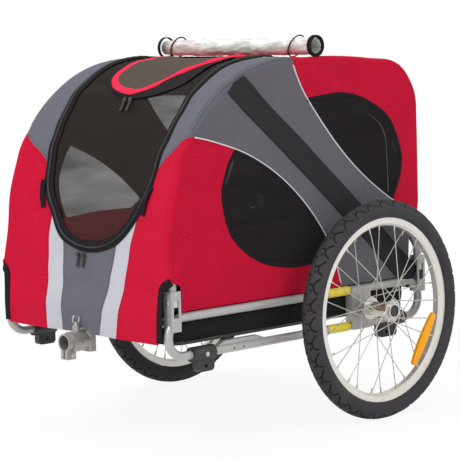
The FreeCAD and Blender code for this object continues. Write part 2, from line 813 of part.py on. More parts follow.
def side_pieces():
    """Panels, windows and the diagonal band of the +X side wall."""
    x = cabin_half_width - cloth
    runs = profile_runs(cloth, x)
    wall = Part.Face(chain(*runs, (runs[-1][2], runs[0][0]))).extrude(X * cloth)
    front = cabin_front_y - overrun
    rear = axle_y + cabin_rear_reach + overrun
    below = box((0, front, 0), (cabin_half_width + overrun, rear, side_foot_z))
    front_notch = box((0, front, 0), (cabin_half_width + overrun, front_pivot_y + corner_notch_length,
                                      corner_notch_z))
    rear_notch = box((0, rear_pivot_y - corner_notch_length, 0),
                     (cabin_half_width + overrun, rear, corner_notch_z))
    wall = wall.cut(below).cut(front_notch).cut(rear_notch)
    front_disc = piping_disc(lower_piping_shares, 0, x, cloth)
    rear_disc = piping_disc(rear_piping_shares, 0, x, cloth)
    front_far_share = front_window_shares[-1][0], front_window_shares[0][1]
    rear_far_share = rear_window_shares[0][0], rear_window_shares[-1][1]
    front_window = window_blank(front_window_shares, front_far_share, x, cloth)
    front_window = front_window.common(piping_disc(lower_piping_shares, piping_width, x, cloth))
    rear_window = window_blank(rear_window_shares, rear_far_share, x, cloth)
    rear_window = rear_window.common(piping_disc(rear_piping_shares, piping_width, x, cloth))
    panels = {"side_front_panel": wall.common(front_disc).cut(front_window),
              "side_grey_panel": wall.cut(front_disc).cut(rear_disc),
              "side_rear_panel": wall.common(rear_disc).cut(rear_window)}
    trims = {"side_windows": group(front_window.common(wall), rear_window.common(wall)),
             "side_bands": side_band(wall)}
    return panels, trims


def side_band(wall):
    """Padded diagonal band from the brow to the rear bracket, on the wall's outer face."""
    start, end = [side_point(share, cabin_half_width + seat) for share in side_band_shares]
    run = (end - start).normalize()
    across = run.cross(X) * (side_band_width / 2)
    ahead = run * side_band_width
    blank = polygon([start - across - ahead, end - across, end + across,
                     start + across - ahead]).extrude(X * trim_cloth)
    outline = wall.copy()
    outline.translate(X * (cloth + seat))
    return blank.common(outline)


def trim_pieces():
    """Sunroof flap, straps and zip pulls, which lie on the cabin's skin."""
    skin = cabin_sheet(-trim_cloth - seat, -seat, cabin_half_width - cloth - seat)
    block = box((-flap_half_width, axle_y - flap_front_reach, window_centre_z),
                (flap_half_width, axle_y - flap_rear_reach, cabin_top_z + overrun))
    front_edges = [e for e in block.Edges
                   if e.BoundBox.ZLength > overrun and e.CenterOfMass.y < axle_y - flap_rear_reach - overrun]
    flap = skin.common(block.makeFillet(flap_corner, front_edges))
    front = cabin_front_y - overrun
    inner, outer = strap_half_widths
    strap = skin.common(front_prism([(inner, strap_foot_z), (outer, strap_foot_z),
                                     (outer + pull_width, strap_top_z),
                                     (inner + pull_width, strap_top_z)], front, axle_y))
    pull = skin.common(front_prism([(pull_gap / 2, pull_top_z - pull_length),
                                    (pull_gap / 2 + pull_width, pull_top_z - pull_length),
                                    (pull_gap / 2 + pull_width, pull_top_z), (pull_gap / 2, pull_top_z)],
                                    front, axle_y))
    flap_front = axle_y - flap_front_reach - seat
    flap_pull = skin.common(box((-pull_width / 2, flap_front - flap_pull_length, window_centre_z),
                                (pull_width / 2, flap_front, cabin_top_z)))
    return {"sunroof_flap": flap, "door_straps": both_sides(strap),
            "zip_pulls": group(pull, mirrored(pull), flap_pull)}


def roll_centre():
    """Axis of the rolled rain cover, above the roof by the thickness of its loops."""
    y = axle_y - roll_reach
    return Vector(0, y, cabin_top_z + seat + roll_radius + seat + 2 * roll_loop_radius)


def rain_cover_roll():
    """Clear film rolled in half turns that step inwards."""
    centre = roll_centre() - X * (roll_length / 2)
    outer, inner = [], []
    for i in range(2 * roll_turns):
        side = 1 if i % 2 == 0 else -1
        radius = roll_radius - i * roll_pitch / 2
        middle = centre + Y * ((i % 2) * roll_pitch / 2)
        for edge, size in ((outer, radius), (inner, radius - roll_film)):
            edge.append((middle - Y * (side * size), middle + Z * (side * size), middle + Y * (side * size)))
    back = [tuple(reversed(run)) for run in reversed(inner)]
    outline = chain(*outer, (outer[-1][2], back[0][0]), *back, (back[-1][2], outer[0][0]))
    return Part.Face(outline).extrude(X * roll_length)


def roll_bands():
    """Elastic bands at the roll's ends and thin loops further in."""
    centre = roll_centre()
    bands = []
    band_start = centre + X * (roll_length / 2 - roll_band_width)
    band_end = centre + X * (roll_length / 2)
    band = rod(roll_radius + seat + roll_band_wall, band_start, band_end)
    bands.append(band.cut(rod(roll_radius + seat, band_start, band_end)))
    loop_place = centre + X * (roll_length / 2 * roll_loop_share)
    loop_end = loop_place + X * (2 * roll_loop_radius)
    loop = rod(roll_radius + seat + 2 * roll_loop_radius, loop_place, loop_end)
    bands.append(loop.cut(rod(roll_radius + seat, loop_place, loop_end)))
    return group(*[both_sides(piece) for piece in bands])


def tub_ends():
    """Front and rear of the tub, between the two cross tubes."""
    front = cross_tube_place(loop_front_y, 1)[0] + tube_radius + tub_gap
    rear = cross_tube_place(loop_rear_y, -1)[0] - tube_radius - tub_gap
    return front, rear


def floor_tub():
    """Open tub of black cloth between the rails."""
    half = tub_half_width
    front, rear = tub_ends()
    shell = rounded_upright(box((-half, front, tub_foot_z), (half, rear, tub_top_z)), tub_corner, Z)
    hollow = rounded_upright(box((-half + tub_wall, front + tub_wall, tub_foot_z + tub_wall),
                                 (half - tub_wall, rear - tub_wall, tub_top_z + overrun)),
                                 tub_corner - tub_wall, Z)
    return shell.cut(hollow)


def floor_board_piece():
    """Stiff floor inside the tub."""
    margin = tub_wall + seat
    half = tub_half_width - margin
    front, rear = tub_ends()
    low = tub_foot_z + tub_wall
    return rounded_upright(box((-half, front + margin, low), (half, rear - margin, low + floor_board)),
                           tub_corner - margin, Z)


def hitch_receiver():
    """Barrel for the tow arm on a block that hangs from the front cross tube."""
    tube_y, tube_z = cross_tube_place(loop_front_y, 1)
    axis = Vector(0, hitch_front_y, hitch_z)
    lip = rod(hitch_lip_radius, axis, axis + Y * hitch_barrel_length)
    barrel = rod(hitch_barrel_radius, axis + Y * hitch_lip_length,
                 axis + Y * (hitch_barrel_length + hitch_block_corner))
    half = hitch_block_width / 2
    block = box((-half, hitch_block_y, hitch_z - hitch_block_drop), (half, tube_y, tube_z))
    block = rounded_upright(block, hitch_block_corner, Z)
    ear_half = hitch_slit / 2 + hitch_ear_width
    ears = box((-ear_half, hitch_front_y, hitch_z - hitch_lip_radius - hitch_ear_drop),
               (ear_half, hitch_front_y + hitch_ear_length, hitch_z - hitch_bore_radius))
    boss_foot = Vector(0, axle_y - lock_reach, hitch_z)
    boss = rod(lock_boss_radius, boss_foot, boss_foot + Z * (hitch_barrel_radius + lock_boss_height))
    body = joined([lip, barrel, block, ears, boss])
    bore = rod(hitch_bore_radius, axis - Y * overrun, axis + Y * hitch_barrel_length)
    slit = box((-hitch_slit / 2, hitch_front_y - overrun,
                hitch_z - hitch_lip_radius - hitch_ear_drop - overrun),
               (hitch_slit / 2, hitch_front_y + hitch_ear_length, hitch_z))
    bolt = hitch_bolt_axis()
    bolt_hole = rod(hitch_bolt_radius + pressed, bolt - X * (ear_half + overrun),
                    bolt + X * (ear_half + overrun))
    pin_hole = rod(lock_pin_radius + sliding, boss_foot,
                   boss_foot + Z * (hitch_barrel_radius + lock_boss_height + overrun))
    detent = rod(hitch_detent_radius, boss_foot, boss_foot + X * (hitch_barrel_radius + overrun))
    seat_tube = rod(tube_radius + sliding, Vector(-half - overrun, tube_y, tube_z),
                    Vector(half + overrun, tube_y, tube_z))
    for tool in (bore, slit, bolt_hole, pin_hole, detent, seat_tube):
        body = body.cut(tool)
    return body


def hitch_bolt_axis():
    """Middle of the pinch bolt below the barrel."""
    return Vector(0, hitch_front_y + hitch_ear_length / 2, hitch_z - hitch_lip_radius - hitch_ear_drop / 2)


def hitch_bolt():
    """Pinch bolt with a round socket head and a nut."""
    ear_half = hitch_slit / 2 + hitch_ear_width
    middle = hitch_bolt_axis()
    shank = rod(hitch_bolt_radius, middle - X * (ear_half + hitch_bolt_head_height),
                middle + X * (ear_half + hitch_bolt_head_height))
    head = rod(hitch_bolt_head_radius, middle + X * ear_half,
               middle + X * (ear_half + hitch_bolt_head_height))
    nut = rod(hitch_bolt_head_radius, middle - X * (ear_half + hitch_bolt_head_height), middle - X * ear_half)
    return joined([shank, head, nut])


def lock_pin():
    """Spring pin above the barrel, flush with its bore."""
    foot = Vector(0, axle_y - lock_reach, hitch_z + hitch_bore_radius + seat)
    top = hitch_z + hitch_barrel_radius + lock_boss_height + lock_pin_top
    pin = rod(lock_pin_radius, foot, Vector(foot.x, foot.y, top))
    return pin.cut(lock_ring_shape(lock_ring_wire + sliding))


def lock_ring_shape(wire):
    """Ring of six-sided wire through the head of the lock pin."""
    eye = hitch_z + hitch_barrel_radius + lock_boss_height + lock_pin_top - 2 * lock_ring_wire - sliding
    centre = Vector(0, axle_y - lock_reach, eye + lock_ring_radius)
    corners = []
    for i in range(ring_sides):
        angle = 2 * math.pi * (i + ring_start_share) / ring_sides
        corners.append(centre + X * (wire * math.sin(angle))
                       - Z * (lock_ring_radius + wire * math.cos(angle)))
    return polygon(corners).revolve(centre, X, 360)


def rail_clamp(collar_reach, length, lug_reach, lug_run):
    """Moulded clamp on the lower rail with a lug that hangs below it."""
    x = frame_half_width
    start = axle_y - collar_reach
    collar = rod(collar_radius, Vector(x, start, lower_rail_z), Vector(x, start + length, lower_rail_z))
    lug_start = axle_y - lug_reach
    lug = box((x - lug_width / 2, lug_start, lug_foot_z),
              (x + lug_width / 2, lug_start + lug_run, lower_rail_z))
    corners = [e for e in lug.Edges if e.BoundBox.XLength > seat and e.BoundBox.ZMax < lug_foot_z + seat]
    lug = lug.makeFillet(lug_corner, corners)
    rail = rod(tube_radius + sliding, Vector(x, start - overrun - lug_run, lower_rail_z),
               Vector(x, start + length + overrun + lug_run, lower_rail_z))
    hole_y = lug_start + lug_hole_setback
    hole = rod(lug_hole_radius, Vector(x - lug_width, hole_y, lug_hole_z),
               Vector(x + lug_width, hole_y, lug_hole_z))
    screw_y = start + length / 2
    screw = rod(clamp_bolt_shank_radius + pressed, Vector(x, screw_y, lower_rail_z),
                Vector(x + collar_radius + overrun, screw_y, lower_rail_z))
    return joined([collar, lug]).cut(rail).cut(hole).cut(screw)


def clamp_bolt(collar_reach, length):
    """Set screw in a clamp's collar."""
    x = frame_half_width
    y = axle_y - collar_reach + length / 2
    shank = rod(clamp_bolt_shank_radius, Vector(x + tube_radius + seat, y, lower_rail_z),
                Vector(x + collar_radius, y, lower_rail_z))
    head = rod(clamp_bolt_radius, Vector(x + collar_radius, y, lower_rail_z),
               Vector(x + collar_radius + clamp_bolt_height, y, lower_rail_z))
    return joined([shank, head])


def frame_nodes():
    """Frame, brackets, floor, hitch and clamps."""
    loop = side_loop()
    corners = ((front_pivot_y, -1), (rear_pivot_y, 1))
    clamps = ((front_collar_reach, collar_length, front_lug_reach, lug_length),
              (rear_collar_reach, rear_collar_length, rear_lug_reach, rear_lug_length))
    front_clamp, rear_clamp = [rail_clamp(*sizes) for sizes in clamps]
    return {
        "side_loop_right": loop,
        "side_loop_left": mirrored(loop),
        "cross_tubes": group(cross_tube(loop_front_y, 1), cross_tube(loop_rear_y, -1)),
        "axle_plates": both_sides(axle_plate()),
        "stub_axles": both_sides(stub_axle()),
        "rail_bands": rail_bands(),
        "floor_rests": both_sides(floor_rest()),
        "front_brackets": both_sides(bracket(*corners[0])),
        "rear_brackets": both_sides(bracket(*corners[1])),
        "hoop_stop_blocks": group(*[both_sides(stop_block(*corner)) for corner in corners]),
        "bracket_rivets": group(*[both_sides(rivet(*corner)) for corner in corners]),
        "pivot_pins": group(*[both_sides(pivot_pin(corner[0])) for corner in corners]),
        "floor_tub": floor_tub(),
        "floor_board": floor_board_piece(),
        "hitch_receiver": hitch_receiver(),
        "hitch_pinch_bolt": hitch_bolt(),
        "lock_pin": lock_pin(),
        "lock_ring": lock_ring_shape(lock_ring_wire),
        "front_clamps": both_sides(front_clamp),
        "rear_clamps": both_sides(rear_clamp),
        "clamp_bolts": group(*[both_sides(clamp_bolt(*sizes[:2])) for sizes in clamps]),
        "front_hoop": front_hoop(),
        "rear_hoop": rear_hoop(),
    }


def wheel_nodes():
    """Both wheels and their release buttons."""
    pieces = {"tyre": tyre(), "rim": rim(), "spokes": spokes(), "hub": hub(), "bearings": bearings(),
              "reflector": reflector(), "release_button": release_button()}
    nodes = {}
    for name, shape in pieces.items():
        nodes[name + "_right"] = shape
        nodes[name + "_left"] = mirrored(shape)
    return nodes


def fabric_nodes():
    """Cabin fabric, its trim and the rolled rain cover."""
    nodes = {**front_pieces(), **roof_and_rear_pieces(), **trim_pieces()}
    panels, trims = side_pieces()
    for name, shape in panels.items():
        nodes[name + "_right"] = shape
        nodes[name + "_left"] = mirrored(shape)
    for name, shape in trims.items():
        nodes[name] = both_sides(shape)
    nodes["rain_cover_roll"] = rain_cover_roll()
    nodes["roll_bands"] = roll_bands()
    return nodes


def main():
    os.makedirs("parts", exist_ok=True)
    for name, shape in {**frame_nodes(), **wheel_nodes(), **fabric_nodes()}.items():
        solids = group(shape)
        solids.exportStep(os.path.join("parts", name + ".step"))
        print(name, len(solids.Solids), round(solids.Volume), solids.isValid())


main()
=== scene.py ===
"""Dresses the dog bicycle trailer: cloth cabin, tyres, trims, finishes and the stage."""

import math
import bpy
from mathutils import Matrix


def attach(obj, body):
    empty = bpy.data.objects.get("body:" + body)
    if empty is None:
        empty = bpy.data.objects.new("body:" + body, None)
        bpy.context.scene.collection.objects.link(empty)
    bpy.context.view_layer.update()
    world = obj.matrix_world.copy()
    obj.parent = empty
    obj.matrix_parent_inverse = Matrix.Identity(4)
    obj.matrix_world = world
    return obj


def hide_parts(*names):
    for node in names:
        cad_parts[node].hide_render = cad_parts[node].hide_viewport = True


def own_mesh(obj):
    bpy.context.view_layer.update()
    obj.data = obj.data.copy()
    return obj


bl_info = {
    "name": "Dog Trailer Dressing",
    "version": (1, 0, 0),
    "blender": (4, 5, 0),
    "location": "3D View > Sidebar > Trailer",
    "description": "Builds the cloth cabin, tyres, trims, finishes and stage of a dog bicycle trailer",
    "category": "Object",
}

import bmesh
import bpy
from bpy.props import FloatProperty, FloatVectorProperty, IntProperty, PointerProperty
from mathutils import Matrix, Vector, geometry, kdtree, noise

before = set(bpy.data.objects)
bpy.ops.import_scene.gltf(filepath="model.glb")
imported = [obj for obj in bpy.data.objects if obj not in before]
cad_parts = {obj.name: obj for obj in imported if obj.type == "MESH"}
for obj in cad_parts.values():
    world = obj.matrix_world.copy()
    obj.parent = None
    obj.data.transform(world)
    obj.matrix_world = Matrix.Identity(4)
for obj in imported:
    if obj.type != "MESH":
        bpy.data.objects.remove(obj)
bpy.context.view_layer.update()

FRAME = "frame"
AXLE_Y = 0.196
AXLE_Z = 0.249
WHEEL_X = 0.345
CABIN_FRONT = AXLE_Y - 0.593
CABIN_LENGTH = 0.805
CABIN_FOOT = 0.233
CABIN_HEIGHT = 0.590
HALF_WIDTH = 0.269
EDGE = 0.014
EDGE_REACH = HALF_WIDTH - EDGE + EDGE * math.pi / 2
RAIL_TOP = 0.3005
# Sides, and whether a piece there is the mirror image
SIDES = (("right", False), ("left", True))
# Cabin profile as shares of its length and height, from the front foot over the roof to the rear foot
PROFILE_SHARES = (
    (0.0, 0.0), (0.0186, 0.334), (0.0845, 0.690), (0.217, 0.880), (0.472, 0.988), (0.662, 1.0),
    (0.876, 0.980), (0.960, 0.924), (0.9938, 0.817), (0.999, 0.409), (1.0, 0.0),
)


def srgb(r, g, b):
    """Linear colour from 0 to 255 screen values."""
    return tuple((c / 255 / 12.92) if c <= 10 else ((c / 255 + 0.055) / 1.055) ** 2.4 for c in (r, g, b))


def colour_choice(name, description, value):
    """Property for a colour."""
    return FloatVectorProperty(name=name, description=description, subtype="COLOR", size=3, min=0, max=1,
                               default=value)


def length_choice(name, description, low, high, value):
    """Property for a length in metres."""
    return FloatProperty(name=name, description=description, unit="LENGTH", min=low, max=high, default=value)


class TrailerClothSettings(bpy.types.PropertyGroup):
    """Sizes and colours of the cabin's cloth."""

    red: colour_choice("Red cloth", "Colour of the red panels", srgb(184, 20, 51))
    grey: colour_choice("Grey cloth", "Colour of the grey panels", srgb(98, 98, 107))
    # Painted shade: a copy of the grey cloth made a little darker for the side walls, where less light falls.
    side_grey: colour_choice("Side grey cloth", "Colour of the grey side panels", srgb(98, 96, 102))
    pale: colour_choice("Pale tape", "Colour of the reflective front strips", srgb(181, 181, 188))
    black: colour_choice("Black tape", "Colour of bindings, bands and zips", srgb(34, 32, 35))
    net: colour_choice("Window net", "Colour of the net's threads", srgb(60, 55, 52))
    piping: colour_choice("Piping", "Colour of the corded seams", srgb(205, 205, 210))
    thickness: length_choice("Cloth thickness", "Thickness of a panel", 0.0005, 0.004, 0.0016)
    grid: length_choice("Panel grid", "Distance between the points of a panel's mesh", 0.004, 0.03, 0.0095)
    crease: length_choice("Crease depth", "Depth of the soft creases in the panels", 0, 0.01, 0.0022)
    net_opening: FloatProperty(name="Net opening", description="Share of the net that is open",
                               subtype="FACTOR", min=0, max=1, default=0.57)


class TrailerHardSettings(bpy.types.PropertyGroup):
    """Colours of the metal, rubber and plastic pieces, and the tyre's tread."""

    paint: colour_choice("Frame paint", "Colour of the tubes and brackets", srgb(170, 169, 167))
    rubber: colour_choice("Rubber", "Colour of the tyres", srgb(50, 48, 51))
    amber: colour_choice("Amber", "Colour of the wheel reflectors", srgb(255, 172, 0))
    sleeve: colour_choice("Sleeve", "Colour of the sleeves on the rails", srgb(224, 206, 58))
    treads: IntProperty(name="Tread repeats", description="Tread repeats around a tyre",
                        min=24, max=120, default=36)
    tread_depth: length_choice("Tread depth", "Depth of the grooves", 0.0005, 0.004, 0.0030)


class TrailerStageSettings(bpy.types.PropertyGroup):
    """Camera, floor and light."""

    lens: FloatProperty(name="Lens", description="Focal length in millimetres",
                        min=20, max=400, default=141.795)
    floor: colour_choice("Floor", "Colour of the floor", (0.86, 0.86, 0.86))
    key: FloatProperty(name="Key light", description="Power of the key light", unit="POWER",
                       min=0, max=2000, default=150)
    fill: FloatProperty(name="Fill light", description="Strength of the surrounding light",
                        min=0, max=3, default=0.62)


def cloth_settings():
    """Settings of the cloth."""
    return bpy.context.scene.trailer_cloth


def hard_settings():
    """Settings of the metal, rubber and plastic."""
    return bpy.context.scene.trailer_hard


def stage_settings():
    """Settings of the camera, floor and light."""
    return bpy.context.scene.trailer_stage


# Curves and paths

CURVE_PIECES = 16
PROFILE_STEP = 0.002
PROFILE_ROUNDS = 60
ARC_PIECES = 60
ROOF_FROM = 150


def circle_centre(a, b, c):
    """Centre of the circle through three points of a plane."""
    d = 2 * (a[0] * (b[1] - c[1]) + b[0] * (c[1] - a[1]) + c[0] * (a[1] - b[1]))
    k, m, n = (p[0] * p[0] + p[1] * p[1] for p in (a, b, c))
    x = (k * (b[1] - c[1]) + m * (c[1] - a[1]) + n * (a[1] - b[1])) / d
    y = (k * (c[0] - b[0]) + m * (a[0] - c[0]) + n * (b[0] - a[0])) / d
    return x, y


def arc(a, b, c, steps):
    """Points of the arc from a through b to c, in the plane."""
    x, y = circle_centre(a, b, c)
    radius = math.hypot(a[0] - x, a[1] - y)
    start, mid, end = (math.atan2(p[1] - y, p[0] - x) for p in (a, b, c))
    turn = (end - start) % (2 * math.pi)
    if (mid - start) % (2 * math.pi) > turn:
        turn -= 2 * math.pi
    points = []
    for i in range(steps + 1):
        angle = start + turn * i / steps
        points.append(Vector((x + radius * math.cos(angle), y + radius * math.sin(angle))))
    return points


def lengths(points):
    """Distance along a path at each of its points."""
    out = [0.0]
    for a, b in zip(points, points[1:]):
        out.append(out[-1] + (b - a).length)
    return out


def divided(points, count):
    """A path divided into a number of equal steps."""
    along = lengths(points)
    out = []
    j = 0
    for i in range(count + 1):
        goal = along[-1] * i / count
        while j < len(along) - 2 and along[j + 1] < goal:
            j += 1
        span = along[j + 1] - along[j] or 1.0
        out.append(points[j].lerp(points[j + 1], (goal - along[j]) / span))
    return out


def even(points, step):
    """A path with points about one step apart."""
    return divided(points, max(1, round(lengths(points)[-1] / step)))


def even_corners(points, step):
    """Straight runs between corners, divided into steps."""
    out = []
    for a, b in zip(points, points[1:]):
        out += even([Vector(a), Vector(b)], step)[:-1]
    out.append(Vector(points[-1]))
    return out


def rounded_ring(half, low, high, corner, pieces, step):
    """Closed path round a rectangle with rounded corners, even about the middle."""
    ring = []
    for x, y, start in ((half - corner, high - corner, 0), (-half + corner, high - corner, 90),
                        (-half + corner, low + corner, 180), (half - corner, low + corner, 270)):
        for i in range(pieces + 1):
            angle = math.radians(start + 90 * i / pieces)
            ring.append(Vector((x + corner * math.cos(angle), y + corner * math.sin(angle))))
    ring.append(ring[0])
    return even(ring, step)


def flipped(path):
    """Flat path on the other side of the middle."""
    return [Vector((-p[0], p[1])) for p in path]


def mirrored(v):
    """Point or normal on the other side of the trailer."""
    return Vector((-v.x, v.y, v.z))


def flowing(points, step):
    """A smooth path through a few points, with points about one step apart."""
    pts = [Vector(p) for p in points]
    ends = [pts[0] * 2 - pts[1]] + pts + [pts[-1] * 2 - pts[-2]]
    out = []
    for p0, p1, p2, p3 in zip(ends, ends[1:], ends[2:], ends[3:]):
        for k in range(CURVE_PIECES):
            t = k / CURVE_PIECES
            out.append(((p1 * 2) + (p2 - p0) * t + (p0 * 2 - p1 * 5 + p2 * 4 - p3) * t * t
                        + (p1 * 3 - p0 - p2 * 3 + p3) * t ** 3) * 0.5)
    out.append(pts[-1])
    return even(out, step)


def inside(p, ring):
    """Whether a point lies within a closed ring of points."""
    hit = False
    x, y = p[0], p[1]
    for a, b in zip(ring, ring[1:] + ring[:1]):
        if (a[1] > y) != (b[1] > y) and x < (b[0] - a[0]) * (y - a[1]) / (b[1] - a[1]) + a[0]:
            hit = not hit
    return hit


def read_off(path, value, axis):
    """Other coordinate of a flat path where the coordinate on one axis has a value."""
    other = 1 - axis
    for a, b in zip(path, path[1:]):
        if a[axis] <= value <= b[axis]:
            return a[other] + (b[other] - a[other]) * (value - a[axis]) / (b[axis] - a[axis])
    return path[0][other] if value < path[0][axis] else path[-1][other]


def ease(value, low, high):
    """Smooth step from 0 at low to 1 at high."""
    t = min(1.0, max(0.0, (value - low) / (high - low)))
    return t * t * (3 - 2 * t)


def between(value, table):
    """Value read from a table of (place, amount) rows, with smooth steps."""
    if value <= table[0][0]:
        return table[0][1]
    for (a, low), (b, high) in zip(table, table[1:]):
        if value <= b:
            return low + (high - low) * ease(value, a, b)
    return table[-1][1]


def tree_of(points):
    """Search tree over flat points."""
    tree = kdtree.KDTree(len(points))
    for i, p in enumerate(points):
        tree.insert((p[0], p[1], 0), i)
    tree.balance()
    return tree


# The cabin's skin: a profile in the plane of the sides, and sheets that follow it


def make_profile():
    """Side profile of the cabin as points two millimetres apart, front foot first."""
    knots = [(CABIN_FRONT + a * CABIN_LENGTH, CABIN_FOOT + b * CABIN_HEIGHT) for a, b in PROFILE_SHARES]
    points = []
    for i in range(0, len(knots) - 1, 2):
        points += arc(knots[i], knots[i + 1], knots[i + 2], ARC_PIECES)[:-1]
    points.append(Vector(knots[-1]))
    points = even(points, PROFILE_STEP)
    for _ in range(PROFILE_ROUNDS):
        softer = [(a + b * 2 + c) / 4 for a, b, c in zip(points, points[1:], points[2:])]
        points = [points[0]] + softer + [points[-1]]
    return even(points, PROFILE_STEP)


PROFILE = make_profile()
ALONG = lengths(PROFILE)
PROFILE_TREE = tree_of(PROFILE)


def profile_at(s):
    """Point and outward normal of the profile at a distance along it."""
    place = min(max(s, 0.0), ALONG[-1]) / ALONG[-1] * (len(PROFILE) - 1)
    i = min(int(place), len(PROFILE) - 2)
    point = PROFILE[i].lerp(PROFILE[i + 1], place - i)
    low, high = max(0, i - 3), min(len(PROFILE) - 1, i + 4)
    run = (PROFILE[high] - PROFILE[low]).normalized()
    return point, Vector((-run.y, run.x))


def front_s(z):
    """Distance along the profile where its front reaches a height."""
    for i in range(len(PROFILE) - 1):
        if PROFILE[i + 1].y >= z:
            return ALONG[i] + (z - PROFILE[i].y)
    return ALONG[-1]


def roof_s(y):
    """Distance along the profile where its roof reaches a place along Y."""
    for i in range(ROOF_FROM, len(PROFILE) - 1):
        if PROFILE[i + 1].x >= y:
            return ALONG[i] + (y - PROFILE[i].x)
    return ALONG[-1]


def rear_s(z):
    """Distance along the profile where its rear comes down to a height."""
    for i in range(len(PROFILE) - 1, 0, -1):
        if PROFILE[i - 1].y >= z:
            return ALONG[i] - (z - PROFILE[i].y)
    return ALONG[-1]


# How far the sheet lies in at its middle, swells all over, and crowns between its edges, along the profile
RECESS = (
    (front_s(0.233), 0.000), (front_s(0.282), 0.002), (front_s(0.350), 0.016), (front_s(0.430), 0.022),
    (front_s(0.505), 0.034), (front_s(0.600), 0.040), (front_s(0.655), 0.037), (front_s(0.710), 0.026),
    (front_s(0.752), 0.012),
    (roof_s(AXLE_Y - 0.330), 0.004), (roof_s(AXLE_Y - 0.213), 0.004), (roof_s(AXLE_Y - 0.130), 0.013),
    (roof_s(AXLE_Y + 0.112), 0.008), (rear_s(0.715), 0.004), (rear_s(0.500), -0.006), (rear_s(0.320), -0.002),
)
SWELL = (
    (front_s(0.233), 0.001), (front_s(0.300), 0.002), (front_s(0.380), 0.0035), (front_s(0.440), 0.007),
    (front_s(0.530), 0.0115), (front_s(0.612), 0.0095), (front_s(0.662), 0.006), (front_s(0.722), 0.007),
    (roof_s(AXLE_Y - 0.330), 0.008), (roof_s(AXLE_Y - 0.230), 0.007), (roof_s(AXLE_Y - 0.130), 0.000),
    (roof_s(AXLE_Y + 0.060), -0.002), (rear_s(0.780), 0.005), (rear_s(0.700), 0.0090),
    (rear_s(0.480), 0.0090), (rear_s(0.400), 0.001),
)
CROWN = (
    (front_s(0.700), 0.0), (front_s(0.752), 0.004), (roof_s(AXLE_Y - 0.330), 0.005),
    (roof_s(AXLE_Y - 0.213), 0.003), (roof_s(AXLE_Y - 0.120), 0.0),
)
SPLIT_S = roof_s(AXLE_Y - 0.200)
CORNER_S = rear_s(0.722)
FLAT = HALF_WIDTH - EDGE
SIDE_SWELL = 0.85
# How far the cloth stands out over the hoops' feet, and the heights between which that fades
FRONT_FOOT = (0.0120, 0.376, 0.440)
REAR_FOOT = (0.004, 0.40, 0.46)
WALL_BULGE = 0.0120
# Scale across, scale along, seed and share of each layer of creases
CREASE_LAYERS = ((7.0, 5.0, 0.3, 0.75), (19.0, 9.0, 4.7, 0.45), (44.0, 30.0, 9.1, 0.14))


def shoulder(z, rear):
    """How far the cloth stands out over a hoop's foot, at a height."""
    height, low, high = REAR_FOOT if rear else FRONT_FOOT
    return height * (1 - ease(z, low, high))


def soft_creases(u, v, depth):
    """Slow swells and slacker creases of stretched cloth, from flat coordinates."""
    layers = ((share, Vector((u * a, v * b, seed))) for a, b, seed, share in CREASE_LAYERS)
    return depth * sum(share * noise.noise(spot) for share, spot in layers)


def on_sheet(x, s, lift=0.0):
    """Point of the front, roof or rear sheet from its flat coordinates."""
    point, out = profile_at(s)
    side = 1.0 if x >= 0 else -1.0
    reach = abs(x)
    angle = max(0.0, reach - FLAT) / EDGE
    across = min(reach, FLAT) + EDGE * math.sin(angle)
    drop = EDGE * (1 - math.cos(angle))
    sag = between(s, RECESS) * max(0.0, 1 - (reach / FLAT) ** 3)
    crown = between(s, CROWN) * ease(FLAT - reach, 0.0, 0.055)
    swell = between(s, SWELL)
    bump = (shoulder(point.y, s > CORNER_S) + SIDE_SWELL * swell) * ease(reach, 0.18, FLAT + 0.006)
    level = lift * math.cos(angle) - drop - sag + crown + swell
    x = side * (across + lift * math.sin(angle) + bump)
    return Vector((x, point.x + out.x * level, point.y + out.y * level))


def on_side(y, z, lift=0.0):
    """Point of the +X side wall from its flat coordinates."""
    near, index, _ = PROFILE_TREE.find((y, z, 0))
    depth = math.hypot(near[0] - y, near[1] - z)
    s = ALONG[index]
    swell = between(s, SWELL)
    low = ease(z, RAIL_TOP, RAIL_TOP + 0.10)
    bulge = WALL_BULGE * ease(depth, EDGE, 0.150) * low * (1 - 0.35 * ease(z, 0.60, 0.80))
    foot = shoulder(z, s > CORNER_S) * (1 - ease(depth, 0.034, 0.075))
    bump = foot + SIDE_SWELL * swell * (1 - ease(depth, EDGE, 0.130))
    out = profile_at(s)[1]
    slip = swell * (1 - ease(depth, EDGE, 0.090))
    return Vector((HALF_WIDTH + bulge + bump + lift, y + out.x * slip, z + out.y * slip))


# Cutting cloth: flat outlines are cut into panels and laid on the skin

# Shares of the panel grid: distance between rows, and clearance from seams
ROW_SHARE = 0.87
CLEAR_SHARE = 0.62
# How far apart the points are that give a normal, for panels and for trims
PANEL_REACH = 0.0015
TRIM_REACH = 0.002
# A piece that fills less than this share of its flat size counts as a tape of this width
NARROW_SHARE = 0.32
TAPE_WIDTH = 0.03
GROOVE_DEPTH, GROOVE_REACH = 0.0011, 0.0045
PUCKER_HEIGHT, PUCKER_REACH, PUCKER_WAVE = 0.0008, 0.018, 0.021


